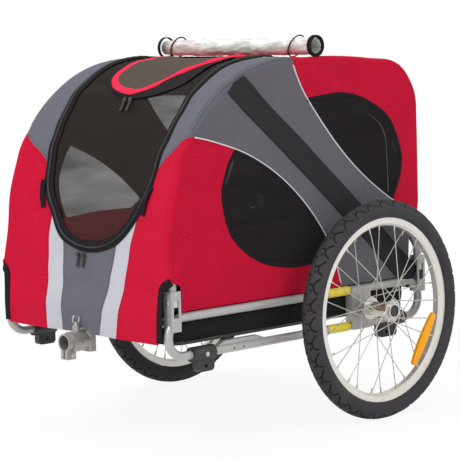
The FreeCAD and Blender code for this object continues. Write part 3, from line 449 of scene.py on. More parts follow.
def cut_cloth(outline, lines, step, which):
    """Triangles of each panel, from a flat outline and the seam lines that cross it."""
    points, edges = [], []

    def add(path, closed):
        start = len(points)
        points.extend(Vector((p[0], p[1])) for p in path)
        edges.extend((start + i, start + i + 1) for i in range(len(path) - 1))
        if closed:
            edges.append((start + len(path) - 1, start))

    add(outline, True)
    for line in lines:
        add(line, False)
    tree = tree_of(points)
    low = Vector((min(p.x for p in points), min(p.y for p in points)))
    high = Vector((max(p.x for p in points), max(p.y for p in points)))
    rows = int((high.y - low.y) / (step * ROW_SHARE))
    columns = int((high.x - low.x) / step)
    for r in range(rows + 1):
        for c in range(columns + 1):
            p = Vector((low.x + (c + 0.5 * (r % 2)) * step, low.y + r * step * ROW_SHARE))
            if tree.find((p.x, p.y, 0))[2] > CLEAR_SHARE * step and inside(p, outline):
                points.append(p)
    flat, _, faces = geometry.delaunay_2d_cdt(points, edges, [], 0, 1e-7)[:3]
    panels = {}
    for face in faces:
        middle = sum((flat[i] for i in face), Vector((0, 0))) / len(face)
        if not inside(middle, outline):
            continue
        name = which(middle)
        if name:
            panels.setdefault(name, []).append(tuple(face))
    return flat, panels


def put(name, data):
    """New object at the origin."""
    obj = bpy.data.objects.new(name, data)
    bpy.context.scene.collection.objects.link(obj)
    return obj


def new_object(name, verts, faces, material, uvs=None, smooth=True):
    """Mesh object at the origin, with flat coordinates as its UV map where given."""
    mesh = bpy.data.meshes.new(name)
    mesh.from_pydata([tuple(v) for v in verts], [], faces)
    if uvs:
        layer = mesh.uv_layers.new(name="flat")
        for loop in mesh.loops:
            layer.data[loop.index].uv = uvs[loop.vertex_index]
    mesh.polygons.foreach_set("use_smooth", [smooth] * len(mesh.polygons))
    mesh.materials.append(material)
    mesh.validate()
    return put(name, mesh)


def skin_normal(place, p, reach):
    """Outward normal of the skin at a flat point, from points a small reach away."""
    du = place(Vector((p[0] + reach, p[1]))) - place(Vector((p[0] - reach, p[1])))
    dv = place(Vector((p[0], p[1] + reach))) - place(Vector((p[0], p[1] - reach)))
    return du.cross(dv).normalized()


def thicken(obj, thickness, offset):
    """Gives a sheet its thickness."""
    wall = obj.modifiers.new("thickness", "SOLIDIFY")
    wall.thickness = thickness
    wall.offset = offset
    return wall


def panel_object(name, flat, triangles, place, look, mirror=False, lined=True):
    """One panel of cloth, laid on the skin, with its thickness and a dark inner face that is painted shade.
    """
    used = sorted({i for face in triangles for i in face})
    index = {i: n for n, i in enumerate(used)}
    normals = [skin_normal(place, flat[i], PANEL_REACH) for i in used]
    verts = [place(flat[i]) for i in used]
    faces = [tuple(index[i] for i in face) for face in triangles]
    uvs = [(flat[i].x, flat[i].y) for i in used]
    top = len(faces)
    if lined:
        count = len(verts)
        thick = cloth_settings().thickness
        verts += [v - n * thick for v, n in zip(verts, normals)]
        normals += [-n for n in normals]
        uvs += uvs
        edges = {(a, b) for face in faces for a, b in zip(face, face[1:] + face[:1])}
        rim = [(b, a, a + count, b + count) for a, b in edges if (b, a) not in edges]
        faces += [tuple(i + count for i in reversed(face)) for face in faces[:top]] + sorted(rim)
    if mirror:
        verts = [mirrored(v) for v in verts]
        normals = [mirrored(n) for n in normals]
        faces = [tuple(reversed(face)) for face in faces]
    obj = new_object(name, verts, faces, finish(look), uvs)
    if lined:
        # The inner faces get a dark finish: painted shade for the inside of the cabin.
        obj.data.materials.append(finish("dark lining"))
        for polygon in obj.data.polygons[top:2 * top]:
            polygon.material_index = 1
    obj.data.normals_split_custom_set_from_vertices([tuple(n) for n in normals])
    return obj


def flat_size(obj):
    """Width, length and area of a panel's flat cut."""
    layer = obj.data.uv_layers["flat"].data
    us = [d.uv.x for d in layer]
    vs = [d.uv.y for d in layer]
    area = sum(p.area for p in obj.data.polygons if p.material_index == 0)
    return max(us) - min(us), max(vs) - min(vs), area


def hold(obj, slot, *nodes, sheet=True, trims=()):
    """Lets a cloth piece ride on the frame and stand for its CAD nodes."""
    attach(obj, FRAME)
    if nodes:
        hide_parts(*nodes)
    if sheet:
        width, length, area = flat_size(obj)
        if area < NARROW_SHARE * width * length:
            width = TAPE_WIDTH
            length = area / width
        else:
            grow = max(1.0, math.sqrt(area / (width * length)))
            width, length = width * grow, length * grow
        list(trims)
    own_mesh(obj)
    return obj


def seam_field(paths):
    """Function that gives the distance to the nearest seam and the place along it."""
    tree = tree_of([p for path in paths for p in path])
    runs = [run for path in paths for run in lengths(path)]

    def field(p):
        _, i, distance = tree.find((p[0], p[1], 0))
        return distance, runs[i]

    return field


def sewn_lift(p, field, depth):
    """Height of the cloth near its seams: a groove, small puckers and soft creases."""
    distance, run = field(p)
    groove = -GROOVE_DEPTH * math.exp(-(distance / GROOVE_REACH) ** 2)
    wave = math.sin(run / PUCKER_WAVE * 2 * math.pi)
    pucker = PUCKER_HEIGHT * math.exp(-distance / PUCKER_REACH) * wave * ease(distance, 0.0, 0.006)
    return groove + pucker + soft_creases(p[0], p[1], depth) * ease(distance, 0.004, 0.045)


# Sweeps: round cords and flat tapes along a path


def run_at(path, i):
    """Direction of a path at one of its points."""
    return (path[min(i + 1, len(path) - 1)] - path[max(i - 1, 0)]).normalized()


def sweep(path, normals, section, closed=False):
    """Vertices and faces of a section carried along a path; section holds (side, up) pairs."""
    verts, faces = [], []
    count = len(section)
    for i, (p, normal) in enumerate(zip(path, normals)):
        run = run_at(path, i)
        up = (normal - run * normal.dot(run)).normalized()
        side = run.cross(up)
        verts += [p + side * a + up * b for a, b in section]
    rings = len(path)
    for i in range(rings if closed else rings - 1):
        j = (i + 1) % rings
        for k in range(count):
            n = (k + 1) % count
            faces.append((i * count + k, i * count + n, j * count + n, j * count + k))
    if not closed:
        faces.append(tuple(reversed(range(count))))
        faces.append(tuple(range((rings - 1) * count, rings * count)))
    return verts, faces


def round_section(radius, sides):
    """Round section of a cord."""
    angles = [2 * math.pi * i / sides for i in range(sides)]
    return [(radius * math.cos(angle), radius * math.sin(angle)) for angle in angles]


def tape_section(width, height):
    """Flat section with soft edges, lying on the skin."""
    w, h = width / 2, height
    return [(-w, 0.1 * h), (-w * 0.94, 0), (w * 0.94, 0), (w, 0.1 * h), (w * 0.97, 0.7 * h), (w * 0.86, h),
            (w * 0.4, 1.06 * h), (-w * 0.4, 1.06 * h), (-w * 0.86, h), (-w * 0.97, 0.7 * h)]


def skin_normals(path, place):
    """Skin positions and outward normals at flat points."""
    return [place(p) for p in path], [skin_normal(place, p, TRIM_REACH) for p in path]


def lifted(path, ups, height):
    """Path raised above the skin."""
    return [p + n * height for p, n in zip(path, ups)], ups


def laid(path, place, height):
    """Flat path laid on the skin, raised by a height, with its normals."""
    return lifted(*skin_normals(path, place), height)


def swept_object(name, runs, section, look, mirror=False):
    """One object from several swept runs, mirrored to the other side where asked."""
    verts, faces = [], []

    def add(v, f, flip):
        base = len(verts)
        verts.extend(mirrored(p) if flip else p for p in v)
        faces.extend(tuple(base + i for i in (reversed(face) if flip else face)) for face in f)

    for path, normals in runs:
        v, f = sweep(path, normals, section)
        add(v, f, False)
        if mirror:
            add(v, f, True)
    uvs = [(p.y + p.x, p.z) for p in verts]
    obj = new_object(name, verts, faces, finish(look), uvs)
    tidy_normals(obj)
    return obj


def tidy_normals(obj):
    """Points every face of a closed mesh outwards."""
    work = bmesh.new()
    work.from_mesh(obj.data)
    bmesh.ops.recalc_face_normals(work, faces=work.faces)
    work.to_mesh(obj.data)
    work.free()


def taken_from(work):
    """Points and faces of a working mesh, which is then freed."""
    work.verts.index_update()
    verts = [v.co.copy() for v in work.verts]
    faces = [tuple(v.index for v in f.verts) for f in work.faces]
    work.free()
    return verts, faces


def grid_faces(rows, width):
    """Faces of a grid of points, row after row."""
    starts = [i * width + k for i in range(rows) for k in range(width - 1)]
    return [(a, a + 1, a + width + 1, a + width) for a in starts]


# Finishes


def shader_group(name, inputs, outputs):
    """Empty shader group with named sockets."""
    tree = bpy.data.node_groups.new(name, "ShaderNodeTree")
    for label, kind, value in inputs:
        socket = tree.interface.new_socket(label, in_out="INPUT", socket_type=kind)
        socket.default_value = value
    for label, kind in outputs:
        tree.interface.new_socket(label, in_out="OUTPUT", socket_type=kind)
    return tree, tree.nodes.new("NodeGroupInput"), tree.nodes.new("NodeGroupOutput")


def settle(node, values):
    """Sets a node's inputs by their names."""
    for name, value in values.items():
        node.inputs[name].default_value = value


class Wiring:
    """Short words for adding and linking nodes in a tree."""

    def __init__(self, tree):
        self.tree = tree

    def add(self, kind, **settings):
        """New node with its settings."""
        node = self.tree.nodes.new(kind)
        for key, value in settings.items():
            setattr(node, key, value)
        return node

    def link(self, source, target):
        """Joins two sockets."""
        self.tree.links.new(source, target)

    def feed(self, socket, value):
        """Links a socket to another one, or sets its plain value."""
        if isinstance(value, bpy.types.NodeSocket):
            self.link(value, socket)
        else:
            socket.default_value = value

    def fed(self, kind, source, **settings):
        """Node whose first input is linked."""
        node = self.add(kind, **settings)
        self.link(source, node.inputs[0])
        return node

    def place(self):
        """Object coordinates."""
        return self.add("ShaderNodeTexCoord").outputs["Object"]

    def math(self, operation, a, b=None):
        """Result of a sum on one or two values."""
        node = self.add("ShaderNodeMath", operation=operation)
        self.feed(node.inputs[0], a)
        if b is not None:
            self.feed(node.inputs[1], b)
        return node.outputs[0]

    def mix(self, factor, a, b):
        """Colour between two colours."""
        node = self.add("ShaderNodeMix", data_type="RGBA")
        self.link(factor, node.inputs["Factor"])
        for socket, colour in ((node.inputs[6], a), (node.inputs[7], b)):
            self.feed(socket, (*colour, 1) if isinstance(colour, tuple) else colour)
        return node.outputs[2]

    def shade(self, colour, factor):
        """Colour made lighter or darker by a factor."""
        node = self.add("ShaderNodeVectorMath", operation="SCALE")
        self.feed(node.inputs[0], colour)
        self.link(factor, node.inputs["Scale"])
        return node.outputs[0]

    def noise(self, coordinates, scale, detail, rough):
        """Cloudy values about 0.5."""
        node = self.add("ShaderNodeTexNoise")
        settle(node, {"Detail": detail, "Roughness": rough})
        self.feed(node.inputs["Scale"], scale)
        self.link(coordinates, node.inputs["Vector"])
        return node.outputs["Fac"]

    def ramp(self, value, low, high, start=0.0, end=1.0):
        """Value carried from one range to another, and held at its ends."""
        node = self.add("ShaderNodeMapRange")
        settle(node, {"From Min": low, "From Max": high, "To Min": start, "To Max": end})
        self.link(value, node.inputs["Value"])
        return node.outputs["Result"]

    def seen_directly(self):
        """1 for the camera, mirrors and glass, 0 for scattered light."""
        path = self.add("ShaderNodeLightPath").outputs
        mirrors = self.math("MAXIMUM", path["Is Glossy Ray"], path["Is Transmission Ray"])
        return self.math("MAXIMUM", path["Is Camera Ray"], mirrors)


SURFACE_OUTPUTS = (("Color", "NodeSocketColor"), ("Roughness", "NodeSocketFloat"),
                   ("Height", "NodeSocketFloat"))


def weave_group():
    """Plain weave on flat coordinates, with heathered threads, faint soiling and painted shade where the
    threads dip.
    """
    if "Plain weave" in bpy.data.node_groups:
        return bpy.data.node_groups["Plain weave"]
    tree, given, made = shader_group("Plain weave", (
        ("Color", "NodeSocketColor", (0.5, 0.5, 0.5, 1)), ("Threads per metre", "NodeSocketFloat", 900.0),
        ("Heather", "NodeSocketFloat", 0.14), ("Soiling", "NodeSocketFloat", 0.06)), SURFACE_OUTPUTS)
    w = Wiring(tree)
    uv = w.add("ShaderNodeUVMap", uv_map="flat").outputs["UV"]
    split = w.fed("ShaderNodeSeparateXYZ", uv)
    count = given.outputs["Threads per metre"]
    u, v = (w.math("MULTIPLY", split.outputs[i], count) for i in (0, 1))
    across, down = (w.math("ABSOLUTE", w.math("SINE", w.math("MULTIPLY", t, math.pi))) for t in (u, v))
    turn = w.math("MODULO", w.math("ADD", w.math("FLOOR", u), w.math("FLOOR", v)), 2.0)
    turn = w.math("ABSOLUTE", turn)
    over = w.math("MULTIPLY", across, w.math("SUBTRACT", 1.0, turn))
    high = w.math("ADD", over, w.math("MULTIPLY", down, turn))
    speck = w.noise(uv, 420.0, 2.0, 0.7)
    cloud = w.noise(uv, 11.0, 4.0, 0.55)
    heather = w.math("MULTIPLY", w.ramp(speck, 0.30, 0.70, -1.0, 1.0), given.outputs["Heather"])
    soil = w.math("MULTIPLY", w.ramp(cloud, 0.35, 0.75, 0.4, -1.0), given.outputs["Soiling"])
    # Painted shade: darker where the threads dip, a little lighter on their crowns.
    thread = w.ramp(high, 0.0, 1.0, 0.90, 1.05)
    factor = w.math("MULTIPLY", w.math("ADD", w.math("ADD", heather, soil), 1.0), thread)
    w.link(w.shade(given.outputs["Color"], factor), made.inputs["Color"])
    w.link(w.ramp(speck, 0.3, 0.7, 0.78, 0.92), made.inputs["Roughness"])
    w.link(w.math("ADD", high, w.math("MULTIPLY", speck, 0.6)), made.inputs["Height"])
    return tree


def grain_group():
    """Fine grain, handling marks and dust for hard surfaces, on object coordinates."""
    if "Surface grain" in bpy.data.node_groups:
        return bpy.data.node_groups["Surface grain"]
    tree, given, made = shader_group("Surface grain", (
        ("Color", "NodeSocketColor", (0.5, 0.5, 0.5, 1)),
        ("Dust color", "NodeSocketColor", (0.5, 0.48, 0.45, 1)),
        ("Grain scale", "NodeSocketFloat", 900.0), ("Roughness", "NodeSocketFloat", 0.4),
        ("Variation", "NodeSocketFloat", 0.1), ("Dust", "NodeSocketFloat", 0.1)), SURFACE_OUTPUTS)
    w = Wiring(tree)
    place = w.place()
    fine = w.noise(place, given.outputs["Grain scale"], 2.0, 0.6)
    broad = w.noise(place, 14.0, 5.0, 0.6)
    streak = w.ramp(w.noise(place, 65.0, 4.0, 0.65), 0.3, 0.7, -1.0, 1.0)
    factor = w.math("ADD", 1.0, w.math("MULTIPLY", streak, given.outputs["Variation"]))
    dusty = w.math("MULTIPLY", w.ramp(broad, 0.48, 0.78), given.outputs["Dust"])
    clean = w.shade(given.outputs["Color"], factor)
    w.link(w.mix(dusty, clean, given.outputs["Dust color"]), made.inputs["Color"])
    rough = w.math("ADD", given.outputs["Roughness"], w.math("MULTIPLY", streak, 0.06))
    w.link(w.math("ADD", rough, w.math("MULTIPLY", dusty, 0.25)), made.inputs["Roughness"])
    w.link(fine, made.inputs["Height"])
    return tree


def start_material(name):
    """New material with its Principled shader and wiring helper."""
    material = bpy.data.materials.new(name)
    material.use_nodes = True
    shader = material.node_tree.nodes["Principled BSDF"]
    return material, shader, Wiring(material.node_tree)


def reopened(material):
    """Principled shader and wiring helper of a finish that gets more nodes."""
    return material.node_tree.nodes["Principled BSDF"], Wiring(material.node_tree)


def add_bump(w, shader, height, strength, distance):
    """Bump from a height, in metres."""
    bump = w.add("ShaderNodeBump")
    settle(bump, {"Strength": strength, "Distance": distance})
    w.link(height, bump.inputs["Height"])
    w.link(bump.outputs["Normal"], shader.inputs["Normal"])


def grouped_finish(name, tree, group_values, shader_values, strength, distance):
    """Material whose colour, roughness and bump come from a shader group."""
    material, shader, w = start_material(name)
    group = w.add("ShaderNodeGroup", node_tree=tree)
    settle(group, group_values)
    settle(shader, shader_values)
    w.link(group.outputs["Color"], shader.inputs["Base Color"])
    w.link(group.outputs["Roughness"], shader.inputs["Roughness"])
    add_bump(w, shader, group.outputs["Height"], strength, distance)
    return material


def cloth_finish(name, colour, threads, heather, soiling, sheen=0.0, strength=0.35, specular=0.06):
    """Woven cloth."""
    weave = {"Color": (*colour, 1), "Threads per metre": threads, "Heather": heather, "Soiling": soiling}
    gloss = {"Sheen Weight": sheen, "Sheen Roughness": 0.5, "Specular IOR Level": specular}
    return grouped_finish(name, weave_group(), weave, gloss, strength, 0.0006)


def hard_finish(name, colour, roughness, metallic=0.0, grain=900.0, variation=0.06, dust=0.08, strength=0.08,
                coat=0.0, specular=0.5, dust_colour=(0.42, 0.40, 0.37)):
    """Paint, metal, rubber or plastic with grain and a little dust."""
    surface = {"Color": (*colour, 1), "Dust color": (*dust_colour, 1), "Grain scale": grain,
               "Roughness": roughness, "Variation": variation, "Dust": dust}
    gloss = {"Metallic": metallic, "Coat Weight": coat, "Specular IOR Level": specular}
    return grouped_finish(name, grain_group(), surface, gloss, strength, 0.0004)


def lining_finish(name, colour):
    """Thin lining that glows a little with the daylight behind it, and lies in shade towards the rear."""
    material = cloth_finish(name, colour, 900, 0.1, 0.1)
    shader, w = reopened(material)
    shaded = w.ramp(w.fed("ShaderNodeSeparateXYZ", w.place()).outputs["Y"], 0.02, 0.13)
    woven = shader.inputs["Base Color"].links[0].from_socket
    w.link(w.mix(shaded, woven, (0.012, 0.008, 0.009)), shader.inputs["Base Color"])
    w.link(w.mix(shaded, colour, (0.004, 0.002, 0.002)), shader.inputs["Emission Color"])
    settle(shader, {"Emission Strength": 0.20})
    return material


def net_finish(name, colour, opening, streaks=0.0):
    """Fine net, seen through in part, denser along slanting streaks where it hangs in creases."""
    material = hard_finish(name, colour, 0.9, variation=0.04, dust=0.0, strength=0.0, specular=0.1)
    shader, w = reopened(material)
    settle(shader, {"Alpha": 1 - opening})
    if streaks:
        slant = w.fed("ShaderNodeMapping", w.place())
        settle(slant, {"Rotation": (math.radians(-55), 0, 0), "Scale": (1.0, 0.22, 1.0)})
        crease = w.noise(slant.outputs["Vector"], 26.0, 2.0, 0.5)
        dense = w.ramp(crease, 0.30, 0.70, 1 - opening - streaks, 1 - opening + streaks)
        w.link(dense, shader.inputs["Alpha"])
    return material


def rubber_finish(name, colour):
    """Tyre rubber, with painted shade darkening the grooves of the tread."""
    material = hard_finish(name, colour, 0.74, grain=700, variation=0.12, dust=0.28, strength=0.18,
                           specular=0.3, dust_colour=(0.10, 0.098, 0.096))
    shader, w = reopened(material)
    base = shader.inputs["Base Color"]
    plain = base.links[0].from_socket
    # Painted shade: the groove share darkens the colour towards black in the tread's grooves.
    groove = w.add("ShaderNodeAttribute", attribute_name="groove").outputs["Fac"]
    w.link(w.mix(groove, plain, (0.004, 0.004, 0.004)), base)
    return material


def amber_finish(name, colour):
    """Moulded reflector with small prisms under a clear face."""
    material, shader, w = start_material(name)
    cells = w.add("ShaderNodeTexVoronoi", feature="F1", distance="CHEBYCHEV")
    settle(cells, {"Scale": 320.0})
    w.link(w.place(), cells.inputs["Vector"])
    prism = cells.outputs["Distance"]
    # Painted glint and shade: each moulded prism is lighter at its centre and darker at its edges.
    w.link(w.shade(colour, w.ramp(prism, 0.0, 0.7, 1.08, 0.74)), shader.inputs["Base Color"])
    w.link(w.ramp(prism, 0.0, 0.7, 0.16, 0.34), shader.inputs["Roughness"])
    settle(shader, {"Coat Weight": 0.12, "Coat Roughness": 0.10, "Specular IOR Level": 0.2})
    add_bump(w, shader, prism, 0.25, 0.0008)
    return material


def film_finish(name):
    """Clear crumpled film, clearest at its left end."""
    material, shader, w = start_material(name)
    place = w.place()
    drawn = w.fed("ShaderNodeMapping", place)
    settle(drawn, {"Scale": (0.30, 1.0, 1.0)})
    wrinkle = w.noise(drawn.outputs["Vector"], 60.0, 5.0, 0.62)
    haze = w.noise(place, 24.0, 3.0, 0.5)
    fold = w.ramp(w.noise(drawn.outputs["Vector"], 80.0, 4.0, 0.6), 0.40, 0.60)
    across = w.fed("ShaderNodeSeparateXYZ", place).outputs["X"]
    clear_end = w.ramp(across, ROLL_LEFT + 0.015, ROLL_LEFT + 0.064, 0.10, 1.0)
    w.link(w.mix(fold, (0.56, 0.57, 0.53), (0.90, 0.92, 0.87)), shader.inputs["Base Color"])
    w.link(w.ramp(wrinkle, 0.3, 0.7, 0.10, 0.28), shader.inputs["Roughness"])
    w.link(w.math("MULTIPLY", clear_end, w.ramp(haze, 0.30, 0.70, 0.84, 0.98)), shader.inputs["Alpha"])
    settle(shader, {"Specular IOR Level": 0.35, "Coat Weight": 0.15, "Coat Roughness": 0.1})
    add_bump(w, shader, wrinkle, 0.8, 0.004)
    return material


def finish(name):
    """A named finish, made on first use."""
    if name in bpy.data.materials:
        return bpy.data.materials[name]
    cloth, hard = cloth_settings(), hard_settings()
    # Colour, threads per metre, heather, soiling, sheen, bump strength, specular level
    woven = {
        "red cloth": (cloth.red, 1000, 0.55, 0.05),
        "grey cloth": (cloth.grey, 1100, 0.32, 0.06),
        # Copy of the grey cloth made a little darker: painted shade for the side walls.
        "side grey cloth": (cloth.side_grey, 1100, 0.32, 0.06),
        "pale tape": (cloth.pale, 1500, 0.03, 0.05),
        "band cloth": (srgb(48, 46, 49), 800, 0.16, 0.08),
        "black tape": (cloth.black, 700, 0.2, 0.12, 0.0, 0.6),
        "bright red tape": (srgb(235, 42, 72), 900, 0.08, 0.03),
        "coated cloth": (srgb(26, 25, 27), 1200, 0.08, 0.15, 0.0, 0.12, 0.14),
        # Dark finish of the inner faces and of the lining's back: painted shade for the inside of the cabin.
        "dark lining": (srgb(46, 30, 34), 1000, 0.1, 0.05),
        "piping cord": (cloth.piping, 1600, 0.03, 0.05, 0.1),
    }
    # Colour, roughness, metal, grain scale, variation, dust, bump strength, coat, specular level
    solid = {
        "zip": (srgb(28, 27, 29), 0.45, 0.0, 1500),
        "frame paint": (hard.paint, 0.36, 0.35, 1300, 0.05, 0.10, 0.06, 0.2),
        "block alloy": (srgb(200, 199, 196), 0.42, 0.6, 900, 0.05, 0.05),
        "cast alloy": (srgb(164, 161, 157), 0.46, 0.7, 420, 0.10, 0.12, 0.22),
        "rim alloy": (srgb(222, 219, 212), 0.34, 0.55, 1500, 0.05, 0.10, 0.05),
        "hub alloy": (srgb(205, 203, 198), 0.24, 0.9, 1500, 0.06, 0.06, 0.04),
        "spoke wire": (srgb(190, 186, 178), 0.40, 0.6, 2000, 0.05, 0.05, 0.02),
        "zinc": (srgb(190, 190, 188), 0.35, 0.85, 1500, 0.08, 0.08),
        "stitch thread": (srgb(70, 68, 72), 0.8, 0.0, 2500, 0.1, 0.0, 0.1, 0.0, 0.1),
        "red thread": (srgb(132, 16, 38), 0.8, 0.0, 2500, 0.1, 0.0, 0.1, 0.0, 0.1),
        "black plastic": (srgb(36, 35, 37), 0.46, 0.0, 1100, 0.08, 0.10, 0.12),
        "sleeve": (hard.sleeve, 0.5, 0.0, 600, 0.12, 0.10, 0.2),
    }
    # Colour, opening, streaks
    nets = {
        "window net": (cloth.net, cloth.net_opening),
        "side net": (srgb(38, 34, 36), 0.21, 0.10),
        "flap net": (srgb(84, 74, 68), 0.2),
    }
    for table, maker in ((woven, cloth_finish), (solid, hard_finish), (nets, net_finish)):
        if name in table:
            return maker(name, *table[name])
    makers = {"inner lining": (lining_finish, srgb(150, 26, 46)), "rubber": (rubber_finish, hard.rubber),
              "amber": (amber_finish, hard.amber), "film": (film_finish,)}
    maker, *colours = makers[name]
    return maker(name, *colours)


# Front and roof outlines, in flat coordinates (across, along the profile)


def both_halves(right):
    """Path from left to right across the middle, from its right half, which starts there."""
    left = flipped(reversed(right))
    if abs(right[0][0]) < 1e-6:
        left = left[:-1]
    return left + [Vector(p) for p in right]


# Hem of the front and of its notches over the brackets, as (across, height)
FRONT_HEM = ((0.0, 0.2475), (0.022, 0.2475), (0.031, 0.2365), (0.118, 0.2345), (0.190, 0.2345),
             (0.240, 0.2350), (0.248, 0.243), (0.2495, 0.335), (0.256, 0.354), (EDGE_REACH, 0.367))


def sheet_outline(step):
    """Outline of the whole front, roof and rear sheet."""
    half = [(x, front_s(z)) for x, z in FRONT_HEM]
    half += [(EDGE_REACH, rear_s(0.432)), (0.238, rear_s(0.424)), (0.226, rear_s(0.405)),
             (0.226, rear_s(RAIL_TOP)), (0.0, rear_s(RAIL_TOP))]
    right = even_corners(half, step)
    return right + flipped(reversed(right))[1:-1]


# Edges of the front window and of the pale strips, as (across, height)
WINDOW_OUTER = ((0.0, 0.411), (0.032, 0.4135), (0.066, 0.422), (0.094, 0.434), (0.119, 0.455),
                (0.138, 0.480), (0.166, 0.520), (0.181, 0.556), (0.188, 0.609), (0.194, 0.656),
                (0.199, 0.705), (0.202, 0.748))
WINDOW_INNER = ((0.0, 0.4360), (0.030, 0.4385), (0.058, 0.446), (0.083, 0.458), (0.104, 0.477),
                (0.121, 0.499), (0.142, 0.530), (0.157, 0.563), (0.166, 0.612), (0.173, 0.658),
                (0.178, 0.702), (0.1805, 0.742))


def window_path(table, roof_half, step):
    """Edge of the front window, from the split in the roof round its foot and back."""
    right = [(x, front_s(z)) for x, z in table]
    right += [(roof_half, roof_s(AXLE_Y - 0.330)), (roof_half + 0.010, SPLIT_S)]
    return both_halves(flowing(right, step))


def brow_seam(step):
    """Seam between the red corners and the grey brow, on the right."""
    return flowing([(0.176, front_s(0.586)), (0.205, front_s(0.617)), (0.238, front_s(0.639)),
                    (EDGE_REACH + 0.001, front_s(0.670))], step)


STRIP_INNER = ((0.0615, 0.226), (0.0775, 0.335), (0.0915, 0.436))
STRIP_OUTER = ((0.1165, 0.226), (0.1240, 0.300), (0.1320, 0.370), (0.1390, 0.440), (0.1435, 0.492))


def front_path(table, step):
    """Smooth path on the front from (across, height) rows."""
    return flowing([(x, front_s(z)) for x, z in table], step)


# Zip and loose edge of the sunroof flap, as (across, behind the axle), and how far the loose edge curls up
FLAP_ZIP = ((-0.131, -0.330), (-0.129, -0.366), (-0.118, -0.391), (-0.095, -0.409), (-0.063, -0.422),
            (-0.028, -0.430), (0.010, -0.433), (0.046, -0.430), (0.078, -0.423), (0.110, -0.411),
            (0.135, -0.394), (0.148, -0.368), (0.152, -0.330))


FLAP_EDGE = ((-0.121, -0.330), (-0.120, -0.366), (-0.111, -0.389), (-0.091, -0.406), (-0.062, -0.419),
             (-0.030, -0.426), (0.000, -0.426), (0.026, -0.418), (0.048, -0.404), (0.068, -0.387),
             (0.091, -0.367), (0.112, -0.349), (0.130, -0.330), (0.138, -0.300), (0.140, -0.270))
FLAP_CURL = ((roof_s(AXLE_Y - 0.395), 0.0), (roof_s(AXLE_Y - 0.330), 1.0), (roof_s(AXLE_Y - 0.260), 0.8),
             (roof_s(AXLE_Y - 0.180), 0.2))


def flap_zip(margin, step, rear):
    """Line of the zip round the sunroof flap, grown by a margin."""
    path = [Vector((FLAP_ZIP[0][0] - margin, rear))]
    path += [Vector((x * (1 + 8 * margin), roof_s(AXLE_Y + y - margin))) for x, y in FLAP_ZIP]
    return flowing(path + [Vector((FLAP_ZIP[-1][0] + margin, rear))], step)


def beside(path, distance):
    """Path at a distance to the left of another."""
    runs = [run_at(path, i) for i in range(len(path))]
    return [p + Vector((-run.y, run.x)) * distance for p, run in zip(path, runs)]


def flap_edge(left, right, step, rear):
    """Edge of the loose flap, drawn in by insets on its left and right."""
    past = rear + 0.02
    path = [Vector((FLAP_EDGE[0][0], past))] + [Vector((x, roof_s(AXLE_Y + y))) for x, y in FLAP_EDGE]
    path = flowing(path + [Vector((FLAP_EDGE[-1][0], past))], step)
    if not left:
        return [p for p in path if p.y < rear + 0.001]
    drawn = []
    for p, q in zip(path, beside(path, 1.0)):
        drawn.append(p + (q - p) * (left + (right - left) * ease(p.x, -0.02, 0.06)))
    return [p for p in drawn if p.y < rear]


def straight_across(half, s, step):
    """Straight line across the sheet."""
    return even([Vector((-half, s)), Vector((half, s))], step)


def door_ring(margin, step):
    """Rounded outline of the rear door, drawn in by a margin."""
    top, foot = rear_s(0.690 - margin), rear_s(0.330 + margin)
    return rounded_ring(0.185 - margin, top, foot, 0.080 - margin, 6, step)


